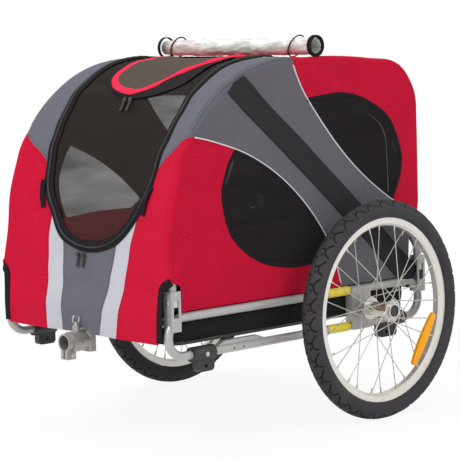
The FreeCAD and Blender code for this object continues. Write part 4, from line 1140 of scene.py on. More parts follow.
def cabin_front_and_roof():
    """Front, brow, roof and rear panels, with bindings, straps and zips."""
    step = cloth_settings().grid
    fine = step * 0.8
    outline = sheet_outline(fine)
    outer = window_path(WINDOW_OUTER, 0.2040, fine)
    inner = window_path(WINDOW_INNER, 0.1825, fine)
    seam = brow_seam(fine)
    strip_in = front_path(STRIP_INNER, fine)
    strip_out = front_path(STRIP_OUTER, fine)
    zip_edge = flap_zip(0.0, fine, SPLIT_S)
    door_out, door_in = door_ring(-0.012, fine), door_ring(0.012, fine)
    split, corner = straight_across(EDGE_REACH, SPLIT_S, fine), straight_across(EDGE_REACH, CORNER_S, fine)
    seams = [outer, inner, seam, flipped(seam), strip_in, flipped(strip_in), strip_out, flipped(strip_out),
             split, corner, zip_edge, door_out, door_in]
    folds = []
    for share in (0.0, 0.2, 0.4, 0.6, 0.8):
        x = HALF_WIDTH - EDGE + (EDGE_REACH - HALF_WIDTH + EDGE) * share
        fold = even([Vector((x, front_s(0.372))), Vector((x, rear_s(0.436)))], fine * 1.3)
        folds += [fold, flipped(fold)]
    field = seam_field(seams)

    def which(p):
        x, s = abs(p.x), p.y
        if s < SPLIT_S:
            if inside(p, outer):
                if not inside(p, inner):
                    return "window_binding"
                return None if inside(p, zip_edge) else "front_mesh"
            if s > read_off(seam, x, 0):
                return "roof_bands"
            if x < read_off(strip_in, s, 1):
                return "front_centre_panel"
            return "front_strips" if x < read_off(strip_out, s, 1) else "front_corner_panels"
        if s < CORNER_S:
            return "roof_rear_panel"
        if inside(p, door_in):
            return "rear_door"
        return "rear_zip" if inside(p, door_out) else "rear_panel"

    depth = cloth_settings().crease

    def place(p):
        return on_sheet(p[0], p[1], sewn_lift(p, field, depth) * ease(EDGE_REACH - abs(p[0]), 0.002, 0.030))

    def raised(p):
        return on_sheet(p[0], p[1], 0.0016 + 0.3 * sewn_lift(p, field, depth))

    def net_place(p):
        return on_sheet(p[0], p[1], sewn_lift(p, field, depth * 1.6) - 0.0012)

    flat, panels = cut_cloth(outline, seams + folds, step, which)
    red, grey = ("red cloth", "red_cloth", place), ("grey cloth", "grey_cloth", place)
    tape = ("black tape", "black_cloth", raised)
    looks = {"window_binding": tape, "front_mesh": ("window net", "dark_mesh", net_place), "roof_bands": grey,
             "front_centre_panel": grey, "front_strips": ("pale tape", "pale_strip", place),
             "front_corner_panels": red, "roof_rear_panel": red, "rear_panel": red, "rear_door": red,
             "rear_zip": tape}
    made = {}
    for name, triangles in panels.items():
        look, _, how = looks[name]
        made[name] = panel_object(name + "_cloth", flat, triangles, how, look, lined=name != "front_mesh")
    trims = front_trims(place, outer, inner, door_out, fine)
    trims["front_strips"] = front_stitches(place, seam, strip_in, strip_out, fine)
    for name, obj in made.items():
        nodes = () if name == "rear_zip" else (name,)
        hold(obj, looks[name][1], *nodes, trims=trims.get(name, ()))


NOTCH = ((0.2465, 0.240), (0.2480, 0.335), (0.2535, 0.355), (EDGE_REACH - 0.004, 0.3690))
STRAP_LOW, STRAP_HIGH = (0.1690, 0.500), (0.1850, 0.560)
STITCH_STEP = 0.0045
STITCH_SIZE = (0.0016, 0.0004, 0.0004)
STITCH_INSET = 0.004


def front_trims(place, outer, inner, door_out, step):
    """Tapes, zip coils and straps on the front, roof and rear."""
    wide = even(outer, step)
    middle = [a.lerp(b, 0.42) for a, b in zip(wide, divided(inner, len(wide) - 1))]
    zip_line, zip_up = skin_normals(middle, place)
    coil_line, teeth_line = (lifted(zip_line, zip_up, height) for height in (0.0022, 0.0042))
    coil = swept_object("window_zip_coil", [coil_line], round_section(0.0022, 6), "zip")
    door_line = laid(door_out, place, 0.0020)
    door_coil = swept_object("door_zip_coil", [door_line], round_section(0.0020, 6), "zip")
    edge = swept_object("corner_edge_tapes", [laid(front_path(NOTCH, step), place, -0.0008)],
                        tape_section(0.018, 0.0026), "black tape", mirror=True)
    strap_middle = [(a + b) / 2 for a, b in zip(STRAP_LOW, STRAP_HIGH)]
    spots, ups = skin_normals(front_path((STRAP_LOW, strap_middle, STRAP_HIGH), step), place)
    arches = [0.0014 + 0.004 * math.sin(math.pi * i / (len(spots) - 1)) for i in range(len(spots))]
    arched = [p + n * arch for p, n, arch in zip(spots, ups, arches)]
    straps = swept_object("door_straps_webbing", [(arched, ups)], tape_section(0.0125, 0.0022), "black tape",
                          mirror=True)
    teeth = row_object("zip_teeth", [teeth_line], 0.0030, (0.0009, 0.0024, 0.0009), "zip")
    across = straight_across(0.206, SPLIT_S - 0.006, step)
    split_tape = swept_object("roof_split_tape", [laid(across, place, 0.0006)], tape_section(0.018, 0.0024),
                              "black tape")
    for obj in (coil, door_coil, teeth):
        hold(obj, "black_plastic", sheet=False)
    for obj in (edge, split_tape):
        hold(obj, "black_cloth", sheet=False)
    hold(straps, "black_cloth", "door_straps", sheet=False)
    return {"window_binding": (coil, teeth, split_tape), "rear_zip": (door_coil,),
            "front_corner_panels": (edge, straps)}


def front_stitches(place, seam, strip_in, strip_out, step):
    """Topstitch rows beside the seams of the front, and the felled seams of the ridges."""
    def row(path, low):
        kept = [p for p in path if abs(p[0]) < EDGE_REACH - 0.002 and p[1] > front_s(low)]
        return laid(kept, place, 0.0003)

    red = [row(beside(seam, -STITCH_INSET), 0.3), row(beside(strip_out, -STITCH_INSET), 0.237)]
    grey = [row(beside(seam, STITCH_INSET), 0.3), row(beside(strip_in, STITCH_INSET), 0.25)]
    ridge_x = HALF_WIDTH - EDGE * 0.15
    ridge = even([Vector((ridge_x, front_s(0.676))), Vector((ridge_x, SPLIT_S))], step)
    grey.append(row([p - Vector((0.006, 0)) for p in ridge], 0.3))
    red_rows = row_object("red_topstitch", red, STITCH_STEP, STITCH_SIZE, "red thread", mirror=True)
    grey_rows = row_object("grey_topstitch", grey, STITCH_STEP, STITCH_SIZE, "stitch thread", mirror=True)
    felled = swept_object("ridge_seams", [laid(ridge, place, 0.0002)], round_section(0.0014, 6),
                          "side grey cloth", mirror=True)
    for obj, slot in ((red_rows, "red_cloth"), (grey_rows, "grey_cloth"), (felled, "grey_cloth")):
        hold(obj, slot, sheet=False)
    return red_rows, grey_rows, felled


def sunroof_flap():
    """Net flap on the roof with a red binding and a black zip edge."""
    step = cloth_settings().grid
    fine = step * 0.75
    rear = roof_s(AXLE_Y - 0.146)
    zip_edge = flap_zip(0.002, fine, rear)
    bound = flap_edge(0.0, 0.0, fine, rear)
    net = flap_edge(0.0165, 0.0085, fine, rear)
    field = seam_field([bound, net])

    def which(p):
        if inside(p, net):
            return "net"
        return "binding" if inside(p, bound) else "zip"

    def place(p):
        distance, run = field(p)
        loose = inside(p, bound)
        crown = 0.0045 if loose else 0.0026
        slack = 0.0045 * ease(distance, 0.0, 0.05) if inside(p, net) else 0.0
        ripple = 0.0022 * math.sin(run / 0.075 * 2 * math.pi) * math.exp(-distance / 0.03)
        curl = 0.0030 * ease(p[0], 0.03, 0.11) * between(p[1], FLAP_CURL) if loose else 0.0
        return on_sheet(p[0], p[1], crown - slack + 0.35 * ripple + curl)

    flat, panels = cut_cloth(zip_edge, [bound, net], step, which)
    looks = {"net": ("flap net", "dark_mesh", ("sunroof_flap",)), "zip": ("black tape", "black_cloth", ()),
             "binding": ("bright red tape", "red_cloth", ())}
    for name, triangles in panels.items():
        look, slot, nodes = looks[name]
        obj = panel_object("flap_" + name, flat, triangles, place, look, lined=name != "net")
        hold(obj, slot, *nodes)


# Side walls, in flat coordinates (Y, Z)


def side_spot(share):
    """Point of the side from its shares of the cabin's length and height."""
    return Vector((CABIN_FRONT + share[0] * CABIN_LENGTH, CABIN_FOOT + share[1] * CABIN_HEIGHT))


# Piping arcs and window edges, as shares of the cabin's length and height
LOWER_PIPING = ((0.099, 0.725), (0.437, 0.548), (0.675, 0.120))
REAR_PIPING = ((0.476, 0.988), (0.657, 0.653), (0.887, 0.426))
FRONT_WINDOW = ((0.2625, 0.6745), (0.230, 0.610), (0.209, 0.505), (0.239, 0.367), (0.327, 0.271),
                (0.438, 0.229), (0.538, 0.226), (0.640, 0.2495))
REAR_WINDOW = ((0.540, 0.838), (0.600, 0.846), (0.668, 0.853), (0.735, 0.842), (0.810, 0.803), (0.878, 0.737),
               (0.917, 0.620), (0.915, 0.530), (0.886, 0.4395))
WINDOW_INSET = 0.0045


def circle_of(shares):
    """Centre and radius of the circle through three points of the side."""
    spots = [side_spot(share) for share in shares]
    centre = Vector(circle_centre(*spots))
    return centre, (arc(*spots, 2)[0] - centre).length


def piping_arc(shares, inset, start, end, steps):
    """Part of a piping line, drawn in by an inset, between two directions from its centre."""
    centre, radius = circle_of(shares)
    a = math.atan2(start.y - centre.y, start.x - centre.x)
    b = math.atan2(end.y - centre.y, end.x - centre.x)
    turn = (b - a + math.pi) % (2 * math.pi) - math.pi
    angles = [a + turn * i / steps for i in range(steps + 1)]
    return [centre + Vector((math.cos(angle), math.sin(angle))) * (radius - inset) for angle in angles]


def side_outline(step):
    """Outline of a side wall, inside the rounded edge of the front, roof and rear."""
    start, end = front_s(0.367), rear_s(0.432)
    ridge = []
    count = int((end - start) / step)
    for i in range(count + 1):
        point, out = profile_at(start + (end - start) * i / count)
        ridge.append(point - out * EDGE)
    foot = (AXLE_Y - 0.5475, RAIL_TOP)
    front = even_corners([foot, (AXLE_Y - 0.5480, 0.342), (AXLE_Y - 0.5540, 0.358), tuple(ridge[0])], step)
    rear = even_corners([tuple(ridge[-1]), (AXLE_Y + 0.180, 0.424), (AXLE_Y + 0.176, RAIL_TOP), foot], step)
    return front[:-1] + ridge + rear[1:-1]


def window_ring(table, shares, step):
    """Closed outline of a side window, trimmed by its piping line."""
    path = flowing([side_spot(share) for share in table], step)
    back = even(piping_arc(shares, WINDOW_INSET, path[-1], path[0], 40), step)
    return path + back[1:-1]


def cabin_sides():
    """Side panels, windows, piping, window bindings and edge tapes, on both sides."""
    step = cloth_settings().grid
    fine = step * 0.8
    outline = side_outline(fine)
    low = even(piping_arc(LOWER_PIPING, 0, side_spot((0.06, 0.74)), side_spot((0.70, 0.03)), 80), fine)
    back = even(piping_arc(REAR_PIPING, 0, side_spot((0.47, 1.02)), side_spot((1.02, 0.37)), 80), fine)
    front_window = window_ring(FRONT_WINDOW, LOWER_PIPING, fine)
    rear_window = window_ring(REAR_WINDOW, REAR_PIPING, fine)
    low_centre, low_radius = circle_of(LOWER_PIPING)
    back_centre, back_radius = circle_of(REAR_PIPING)
    windows = [front_window + front_window[:1], rear_window + rear_window[:1]]
    field = seam_field([low, back] + windows)

    def which(p):
        if inside(p, front_window) or inside(p, rear_window):
            return "windows"
        if (p - low_centre).length < low_radius:
            return "front"
        return "rear" if (p - back_centre).length < back_radius else "grey"

    depth = cloth_settings().crease

    def place(p):
        near = PROFILE_TREE.find((p[0], p[1], 0))[2]
        return on_side(p[0], p[1], sewn_lift(p, field, depth) * ease(near, EDGE + 0.001, EDGE + 0.030))

    def net_place(p):
        distance, _ = field(p)
        slack = 0.006 * ease(distance, 0.01, 0.10)
        slanted = Vector((p[0] * 16 + p[1] * 22, p[0] * 5 - p[1] * 4, 2.0))
        crease = 0.0022 * noise.noise(slanted) * ease(distance, 0.004, 0.03)
        return on_side(p[0], p[1], sewn_lift(p, field, depth) - slack + crease)

    flat, panels = cut_cloth(outline, [low, back] + windows, step, which)
    looks = {"front": ("red cloth", "red_cloth"), "grey": ("side grey cloth", "grey_cloth"),
             "rear": ("red cloth", "red_cloth")}
    trims = side_trims(place, (low, back), windows, outline, fine)
    for side, mirror in SIDES:
        for name, (look, slot) in looks.items():
            node = "side_" + name + "_panel_" + side
            obj = panel_object(node + "_cloth", flat, panels[name], place, look, mirror)
            hold(obj, slot, node, trims=trims if name == "grey" and not mirror else ())
    for side, mirror in SIDES:
        net = panel_object("side_window_net_" + side, flat, panels["windows"], net_place, "side net", mirror,
                           lined=False)
        hold(net, "dark_mesh", *(() if mirror else ("side_windows",)))


def side_trims(place, seams, windows, outline, step):
    """Piping, window bindings and edge tapes of both sides."""
    runs = [laid([p for p in path if inside(p, outline)], place, 0.0010) for path in seams]
    piping = swept_object("seam_piping", runs, round_section(0.0016, 8), "piping cord", mirror=True)
    rings = [laid(path, place, -0.0006) for path in windows]
    binding = swept_object("window_edge_tapes", rings, tape_section(0.0085, 0.0022), "black tape",
                           mirror=True)
    corner = [(AXLE_Y - 0.5450, RAIL_TOP + 0.001), (AXLE_Y - 0.5455, 0.343), (AXLE_Y - 0.5520, 0.361),
              (AXLE_Y - 0.5700, 0.3700)]
    edge = swept_object("side_edge_tapes", [laid(flowing(corner, step), place, -0.0008)],
                        tape_section(0.008, 0.0020), "red cloth", mirror=True)
    for obj, slot in ((piping, "pale_strip"), (binding, "black_cloth"), (edge, "red_cloth")):
        hold(obj, slot, sheet=False)
    return piping, binding, edge


BAND_START, BAND_END = side_spot((0.2655, 0.9035)), side_spot((0.972, 0.1065))
BAND_HALF = 0.0285
BAND_ROWS, BAND_COLUMNS = 96, 14
BAND_PAD = 0.0052
BAND_SEAT = 0.0007


def band_lift(w, t, p):
    """Height of the padded face at a place across (-1 to 1) and along (0 to 1) the band."""
    pad = (1 - abs(w) ** 4) * (1 - 0.25 * math.exp(-(w / 0.10) ** 2))
    crease = 0.0007 * noise.noise(Vector((p.x * 40, p.y * 40, 3.0)))
    return BAND_PAD * pad * min(1.0, t * 14, (1 - t) * 24 + 0.2) + crease + 0.0008


def side_bands():
    """Padded black bands from the brow down to the rear brackets."""
    span = (BAND_END - BAND_START).length
    run = (BAND_END - BAND_START).normalized()
    across = Vector((-run.y, run.x))
    rows, columns = BAND_ROWS, BAND_COLUMNS
    verts, faces, uvs = [], [], []
    for padded in (False, True):
        for i in range(rows + 1):
            t = i / rows
            for j in range(columns + 1):
                w = 2 * j / columns - 1
                p = BAND_START + run * (span * t) + across * (BAND_HALF * w)
                cut = ridge_trim(p)
                verts.append(on_side(cut.x, cut.y, BAND_SEAT + (band_lift(w, t, p) if padded else 0.0)))
                uvs.append((BAND_HALF * w, span * t))
    width = columns + 1
    base = (rows + 1) * width
    for i in range(rows):
        for j in range(columns):
            a = i * width + j
            faces.append((a, a + width, a + width + 1, a + 1))
            faces.append((base + a, base + a + 1, base + a + width + 1, base + a + width))
    border = list(range(width)) + [i * width + columns for i in range(1, rows + 1)]
    border += [rows * width + j for j in range(columns - 1, -1, -1)]
    border += [i * width for i in range(rows - 1, 0, -1)]
    for a, b in zip(border, border[1:] + border[:1]):
        faces.append((a, b, base + b, base + a))
    for side, mirror in SIDES:
        points = [mirrored(v) for v in verts] if mirror else verts
        band = new_object("side_band_" + side, points, faces, finish("band cloth"), uvs)
        tidy_normals(band)
        hold(band, "black_cloth", *(() if mirror else ("side_bands",)), sheet=False)
    stitches = []
    for column in (1, columns // 2, columns - 1):
        spots = [verts[base + i * width + column] for i in range(2, rows - 1)]
        stitches.append(([p + Vector((0.0004, 0, 0)) for p in spots], None))
    seams = row_object("band_topstitch", stitches, 0.0050, (0.0017, 0.0005, 0.0005), "stitch thread",
                       mirror=True)
    hold(seams, "black_cloth", sheet=False)


def ridge_trim(p):
    """A band point, held inside the wall's rounded edge."""
    index = PROFILE_TREE.find((p.x, p.y, 0))[1]
    point, out = profile_at(ALONG[index])
    over = (p - point).dot(out) + EDGE * 0.6
    return p - out * over if over > 0 else p


# Rolled rain cover

ROLL_Y = AXLE_Y - 0.111
ROLL_Z = 0.8452
ROLL_LEFT, ROLL_RIGHT = -0.240, 0.260
ROLL_RADIUS, ROLL_LIMIT = 0.0212, 0.0222
ROLL_AROUND = 44


def rain_cover_roll():
    """Clear film in a loose roll, with end bands and thin loops."""
    turns, across = 1.25, 120
    total = int(turns * ROLL_AROUND)
    verts, uvs = [], []
    for i in range(across + 1):
        x = ROLL_LEFT + (ROLL_RIGHT - 0.004 - ROLL_LEFT) * i / across
        for k in range(total + 1):
            angle = 2 * math.pi * k / ROLL_AROUND
            radius = ROLL_RADIUS - 0.0040 * k / ROLL_AROUND
            radius += noise.noise(Vector((x * 14, angle * 1.1, 0.5))) * 0.0022
            radius += abs(noise.noise(Vector((x * 34 + angle * 2.0, angle * 1.6, 7.0)))) * 0.0026 - 0.0008
            radius = min(radius, ROLL_LIMIT)
            up = Vector((0, math.cos(angle + 2.2), math.sin(angle + 2.2)))
            verts.append(Vector((x, ROLL_Y, ROLL_Z)) + up * radius)
            uvs.append((x, radius * angle))
    roll = new_object("rain_cover_film", verts, grid_faces(across, total + 1), finish("film"), uvs)
    thicken(roll, 0.0005, 0)
    hold(roll, "clear_film", "rain_cover_roll")
    roll_bands()


def flat_ring(half, depth):
    """Square section that lies inwards of its path."""
    return [(-half, 0.0), (half, 0.0), (half, -depth), (-half, -depth)]


def roll_bands():
    """End bands, core and thin loops of the roll."""
    # Place along X, radius, lean, section
    rings = ((ROLL_RIGHT - 0.003, 0.0240, 0.0, flat_ring(0.0045, 0.0052)),
             (ROLL_LEFT + 0.002, 0.0236, 0.0, tape_section(0.009, 0.0020)),
             (ROLL_LEFT + 0.036, 0.0160, 0.0, flat_ring(0.034, 0.0012)),
             (ROLL_LEFT + 0.046, 0.0245, 0.010, round_section(0.0017, 8)),
             (ROLL_RIGHT - 0.062, 0.0238, 0.012, round_section(0.0015, 8)))
    verts, faces = [], []
    for x, radius, lean, section in rings:
        path, ups = [], []
        for i in range(ROLL_AROUND):
            angle = 2 * math.pi * i / ROLL_AROUND
            up = Vector((0, math.cos(angle), math.sin(angle)))
            path.append(Vector((x + lean * math.sin(angle), ROLL_Y, ROLL_Z)) + up * radius)
            ups.append(up)
        v, f = sweep(path, ups, section, closed=True)
        faces += [tuple(len(verts) + i for i in face) for face in f]
        verts += v
    bands = new_object("roll_end_bands", verts, faces, finish("black tape"), [(v.x, v.z) for v in verts])
    tidy_normals(bands)
    hold(bands, "black_cloth", "roll_bands", sheet=False)


# Floor tub and lining

TUB_FRONT = AXLE_Y - 0.5545
TUB_CORNER = 0.034
# Height and outward belly of the tub's wall
TUB_LEVELS = ((0.300, 0.0), (0.290, 0.0005), (0.276, 0.0026), (0.262, 0.0040), (0.248, 0.0038),
              (0.236, 0.0010), (0.229, -0.0050), (0.2262, -0.0130))
LINING_ROWS = 12
LINING_TOP = 0.434
SLEEVE_FOOT = 0.468


def tub_ring(half, rear, step):
    """Rounded rectangle of the tub, seen from above, without its closing point."""
    return rounded_ring(half, TUB_FRONT, rear, TUB_CORNER, 8, step)[:-1]


def inner_lining():
    """Dark red lining that rises from the tub along the sides and round the rear corners."""
    ring = [p for p in tub_ring(0.2545, AXLE_Y + 0.1848, 0.012) if p.y > AXLE_Y - 0.520]
    split = max(range(len(ring)), key=lambda i: (ring[i] - ring[i - 1]).length)
    ring = ring[split:] + ring[:split]
    rows = LINING_ROWS
    verts, uvs, faces = [], [], []
    for p, run in zip(ring, lengths(ring)):
        side = 1 if p.x > 0 else -1
        rise = 0.032 * ease(AXLE_Y + 0.150 - p.y, 0.0, 0.060)
        top = LINING_TOP + rise - 0.012 * ease(AXLE_Y - 0.30 - p.y, 0.0, 0.2)
        for k in range(rows + 1):
            z = RAIL_TOP + (top - RAIL_TOP) * k / rows
            wave = 0.0016 * noise.noise(Vector((run * 16, z * 12, 5.0))) - 0.0016
            verts.append(Vector((p.x + side * wave, p.y, z)))
            uvs.append((run, z))
    for i in range(len(ring) - 1):
        for k in range(rows):
            a = i * (rows + 1) + k
            faces.append((a + 1, a + rows + 2, a + rows + 1, a))
    lining = new_object("inner_lining_cloth", verts, faces, finish("inner lining"), uvs)
    # The lining's back gets the dark painted shade finish.
    lining.data.materials.append(finish("dark lining"))
    thicken(lining, 0.0012, 0).material_offset = 1
    hold(lining, "red_cloth")


def hoop_sleeves():
    """Black cloth sleeves on the hoops above their feet."""
    for node in ("front_hoop", "rear_hoop"):
        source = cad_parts[node]
        work = bmesh.new()
        work.from_mesh(source.data)
        work.transform(source.matrix_world)
        bmesh.ops.remove_doubles(work, verts=work.verts, dist=0.00002)
        every = list(work.verts) + list(work.edges) + list(work.faces)
        cut = (0, 0, SLEEVE_FOOT)
        bmesh.ops.bisect_plane(work, geom=every, plane_co=cut, plane_no=(0, 0, 1), clear_inner=True)
        bmesh.ops.recalc_face_normals(work, faces=work.faces)
        work.normal_update()
        for vert in work.verts:
            vert.co += vert.normal * 0.0010
        verts, faces = taken_from(work)
        uvs = [(v.x, v.y + v.z) for v in verts]
        sleeve = new_object(node + "_sleeve", verts, faces, finish("black tape"), uvs)
        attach(sleeve, node + "_body")


def floor_tub():
    """Coated cloth tub whose walls belly out between the rails."""
    ring = tub_ring(0.2575, AXLE_Y + 0.1868, 0.014)
    count = len(ring)
    verts, uvs, faces = [], [], []
    for z, out in TUB_LEVELS:
        run = 0.0
        for i, p in enumerate(ring):
            tangent = (ring[(i + 1) % count] - ring[i - 1]).normalized()
            normal = Vector((tangent.y, -tangent.x))
            ripple = 0.0012 * noise.noise(Vector((p.x * 18, p.y * 18, z * 30))) * ease(z, 0.30, 0.285)
            slack = out + (ripple if 0.23 < z < 0.295 else 0.0)
            verts.append(Vector((p.x + normal.x * slack, p.y + normal.y * slack, z)))
            uvs.append((run, z))
            run += (ring[(i + 1) % count] - p).length
    last = (len(TUB_LEVELS) - 1) * count
    for a in range(0, last, count):
        for i in range(count):
            j = (i + 1) % count
            faces.append((a + j, a + i, a + count + i, a + count + j))
    faces.append(tuple(range(last + count - 1, last - 1, -1)))
    tub = new_object("floor_tub_cloth", verts, faces, finish("coated cloth"), uvs)
    tidy_normals(tub)
    thicken(tub, 0.0014, -1)
    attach(tub, FRAME)
    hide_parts("floor_tub")


# Repeats made with geometry nodes


def grow_tree(name, inputs):
    """Geometry node tree with named inputs."""
    tree = bpy.data.node_groups.new(name, "GeometryNodeTree")
    tree.interface.new_socket("Geometry", in_out="INPUT", socket_type="NodeSocketGeometry")
    for label, kind, value in inputs:
        socket = tree.interface.new_socket(label, in_out="INPUT", socket_type=kind)
        if value is not None:
            socket.default_value = value
    tree.interface.new_socket("Geometry", in_out="OUTPUT", socket_type="NodeSocketGeometry")
    return tree, tree.nodes.new("NodeGroupInput"), tree.nodes.new("NodeGroupOutput"), Wiring(tree)


def grown(source, tree, values, name):
    """Plain mesh object from a node tree on a source object, which is then removed."""
    modifier = source.modifiers.new("repeat", "NODES")
    modifier.node_group = tree
    for item in tree.interface.items_tree:
        if item.item_type == "SOCKET" and item.in_out == "INPUT" and item.name in values:
            modifier[item.identifier] = values[item.name]
    bpy.context.view_layer.update()
    mesh = bpy.data.meshes.new_from_object(source.evaluated_get(bpy.context.evaluated_depsgraph_get()))
    mesh.name = name
    mesh.polygons.foreach_set("use_smooth", [True] * len(mesh.polygons))
    obj = put(name, mesh)
    bpy.data.objects.remove(source)
    return obj


def end_tree(w, given, made, geometry):
    """Ends a tree with the finish on its geometry."""
    look = w.fed("GeometryNodeSetMaterial", geometry)
    w.link(given.outputs["Finish"], look.inputs["Material"])
    w.link(look.outputs[0], made.inputs[0])


def row_tree():
    """Small grains in a row along a line: stitches or zip teeth."""
    if "Row along a line" in bpy.data.node_groups:
        return bpy.data.node_groups["Row along a line"]
    tree, given, made, w = grow_tree("Row along a line", [
        ("Spacing", "NodeSocketFloat", 0.004), ("Size", "NodeSocketVector", (0.0015, 0.0004, 0.0004)),
        ("Finish", "NodeSocketMaterial", None)])
    line = w.fed("GeometryNodeMeshToCurve", given.outputs["Geometry"])
    spots = w.fed("GeometryNodeCurveToPoints", line.outputs[0], mode="LENGTH")
    w.link(given.outputs["Spacing"], spots.inputs["Length"])
    grain = w.add("GeometryNodeMeshUVSphere")
    settle(grain, {"Segments": 6, "Rings": 4})
    turn = w.add("FunctionNodeAlignRotationToVector", axis="X")
    w.link(spots.outputs["Tangent"], turn.inputs["Vector"])
    copies = w.fed("GeometryNodeInstanceOnPoints", spots.outputs["Points"])
    w.link(grain.outputs["Mesh"], copies.inputs["Instance"])
    w.link(turn.outputs[0], copies.inputs["Rotation"])
    w.link(given.outputs["Size"], copies.inputs["Scale"])
    end_tree(w, given, made, w.fed("GeometryNodeRealizeInstances", copies.outputs[0]).outputs[0])
    return tree


def row_object(name, runs, spacing, size, look, mirror=False):
    """Row of grains along several skin paths, given as (points, normals), and their mirror images."""
    verts, edges = [], []
    for points, _ in runs:
        for side in ((1, -1) if mirror else (1,)):
            base = len(verts)
            verts += [(side * p.x, p.y, p.z) for p in points]
            edges += [(base + i, base + i + 1) for i in range(len(points) - 1)]
    mesh = bpy.data.meshes.new(name)
    mesh.from_pydata(verts, edges, [])
    values = {"Spacing": spacing, "Size": size, "Finish": finish(look)}
    return grown(put(name + "_line", mesh), row_tree(), values, name)


def ring_tree():
    """Copies of a shape in a ring about the wheel's axis."""
    if "Ring about axle" in bpy.data.node_groups:
        return bpy.data.node_groups["Ring about axle"]
    tree, given, made, w = grow_tree("Ring about axle", [
        ("Copies", "NodeSocketInt", 28), ("Turn", "NodeSocketFloat", 0.0),
        ("Centre", "NodeSocketVector", (0, 0, 0)), ("Finish", "NodeSocketMaterial", None)])
    points = w.fed("GeometryNodePoints", given.outputs["Copies"])
    index = w.add("GeometryNodeInputIndex").outputs[0]
    part = w.math("DIVIDE", index, given.outputs["Copies"])
    angle = w.math("ADD", w.math("MULTIPLY", part, 2 * math.pi), given.outputs["Turn"])
    euler = w.add("ShaderNodeCombineXYZ")
    w.link(angle, euler.inputs["X"])
    spin = w.fed("FunctionNodeEulerToRotation", euler.outputs[0])
    copies = w.fed("GeometryNodeInstanceOnPoints", points.outputs[0])
    w.link(given.outputs["Geometry"], copies.inputs["Instance"])
    w.link(spin.outputs[0], copies.inputs["Rotation"])
    real = w.fed("GeometryNodeRealizeInstances", copies.outputs[0])
    move = w.fed("GeometryNodeTransform", real.outputs[0])
    w.link(given.outputs["Centre"], move.inputs["Translation"])
    weld = w.fed("GeometryNodeMergeByDistance", move.outputs[0])
    settle(weld, {"Distance": 0.00005})
    end_tree(w, given, made, weld.outputs[0])
    return tree


def about_axle(source, side, name, look, copies, turn=0.0):
    """Copies of a shape in a ring on a wheel, as one piece that turns with it."""
    x = WHEEL_X if side == "right" else -WHEEL_X
    values = {"Copies": copies, "Turn": turn, "Centre": (x, AXLE_Y, AXLE_Z), "Finish": finish(look)}
    obj = grown(source, ring_tree(), values, name)
    tidy_normals(obj)
    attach(obj, "wheel_" + side)
    return obj


# Grooves and dimple of one tread repeat, as (degrees across the tyre, share of the repeat)
TREAD_GROOVES = (((65, 0.0), (36, 0.13), (26, 0.42), (57, 0.80)), ((26, 0.42), (0, 0.44)))
TREAD_DIMPLE = (16, 0.12)


def tread_cut(degrees, turn, pitch):
    """Share of the tread's depth cut away at an angle across the tyre and a place along one repeat."""
    shift = 0.5 if degrees < 0 else 0.0
    across = math.radians(abs(degrees)) * TYRE_ROUND
    nearest = 1.0
    for whole in (-1, 0, 1):
        p = Vector((across, ((turn + shift) % 1.0 + whole) * pitch))
        for groove in TREAD_GROOVES:
            spots = [Vector((math.radians(a) * TYRE_ROUND, part * pitch)) for a, part in groove]
            for a, b in zip(spots, spots[1:]):
                share = min(1.0, max(0.0, (p - a).dot(b - a) / (b - a).length_squared))
                nearest = min(nearest, (p - a.lerp(b, share)).length)
        dimple = Vector((math.radians(TREAD_DIMPLE[0]) * TYRE_ROUND, TREAD_DIMPLE[1] * pitch))
        nearest = min(nearest, max(0.0, (p - dimple).length - 0.0008))
    return 1 - ease(nearest, 0.0011, 0.0028)


TREAD_DEGREES = (0, 5, *range(9, 46, 3), *range(49, 66, 4), 70, 76, 84, 96, 108, 122)
TREAD_PIECES = 28
TYRE_CENTRE, TYRE_ROUND = 0.226, 0.0230
BEADS = ((0.0150, 0.2100), (0.0095, 0.2098))


def tyres():
    """Both tyres, from one moulded repeat of the tread."""
    hard = hard_settings()
    count = hard.treads
    section = [-d for d in reversed(TREAD_DEGREES[1:])] + list(TREAD_DEGREES)
    pitch = 2 * math.pi * (TYRE_CENTRE + TYRE_ROUND) / count
    verts, grooves = [], []
    for i in range(TREAD_PIECES + 1):
        turn = i / TREAD_PIECES
        angle = 2 * math.pi / count * (turn - 0.5)
        ring = [(-x, r) for x, r in reversed(BEADS)]
        cuts = [tread_cut(d, turn % 1.0, pitch) * (1 - ease(abs(d), 61, 70)) for d in section]
        for d, groove in zip(section, cuts):
            wall = 0.0005 * math.sin(abs(d) * 0.55) if abs(d) > 78 else 0.0
            r = TYRE_ROUND - hard.tread_depth * groove + wall
            ring.append((r * math.sin(math.radians(d)), TYRE_CENTRE + r * math.cos(math.radians(d))))
        ring += BEADS
        grooves += [0.0, 0.0] + cuts + [0.0, 0.0]
        verts += [Vector((x, r * math.sin(angle), r * math.cos(angle))) for x, r in ring]
    width = len(section) + 2 * len(BEADS)
    faces = grid_faces(TREAD_PIECES, width)
    for a in range(0, TREAD_PIECES * width, width):
        faces.append((a + width - 1, a, a + width, a + 2 * width - 1))
    for side, _ in SIDES:
        repeat = new_object("tread_repeat", verts, faces, finish("rubber"))
        # The groove share also drives the rubber's painted shade in the grooves.
        repeat.data.attributes.new("groove", "FLOAT", "POINT").data.foreach_set("value", grooves)
        tyre = about_axle(repeat, side, "tyre_moulded_" + side, "rubber", count)
        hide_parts("tyre_" + side)


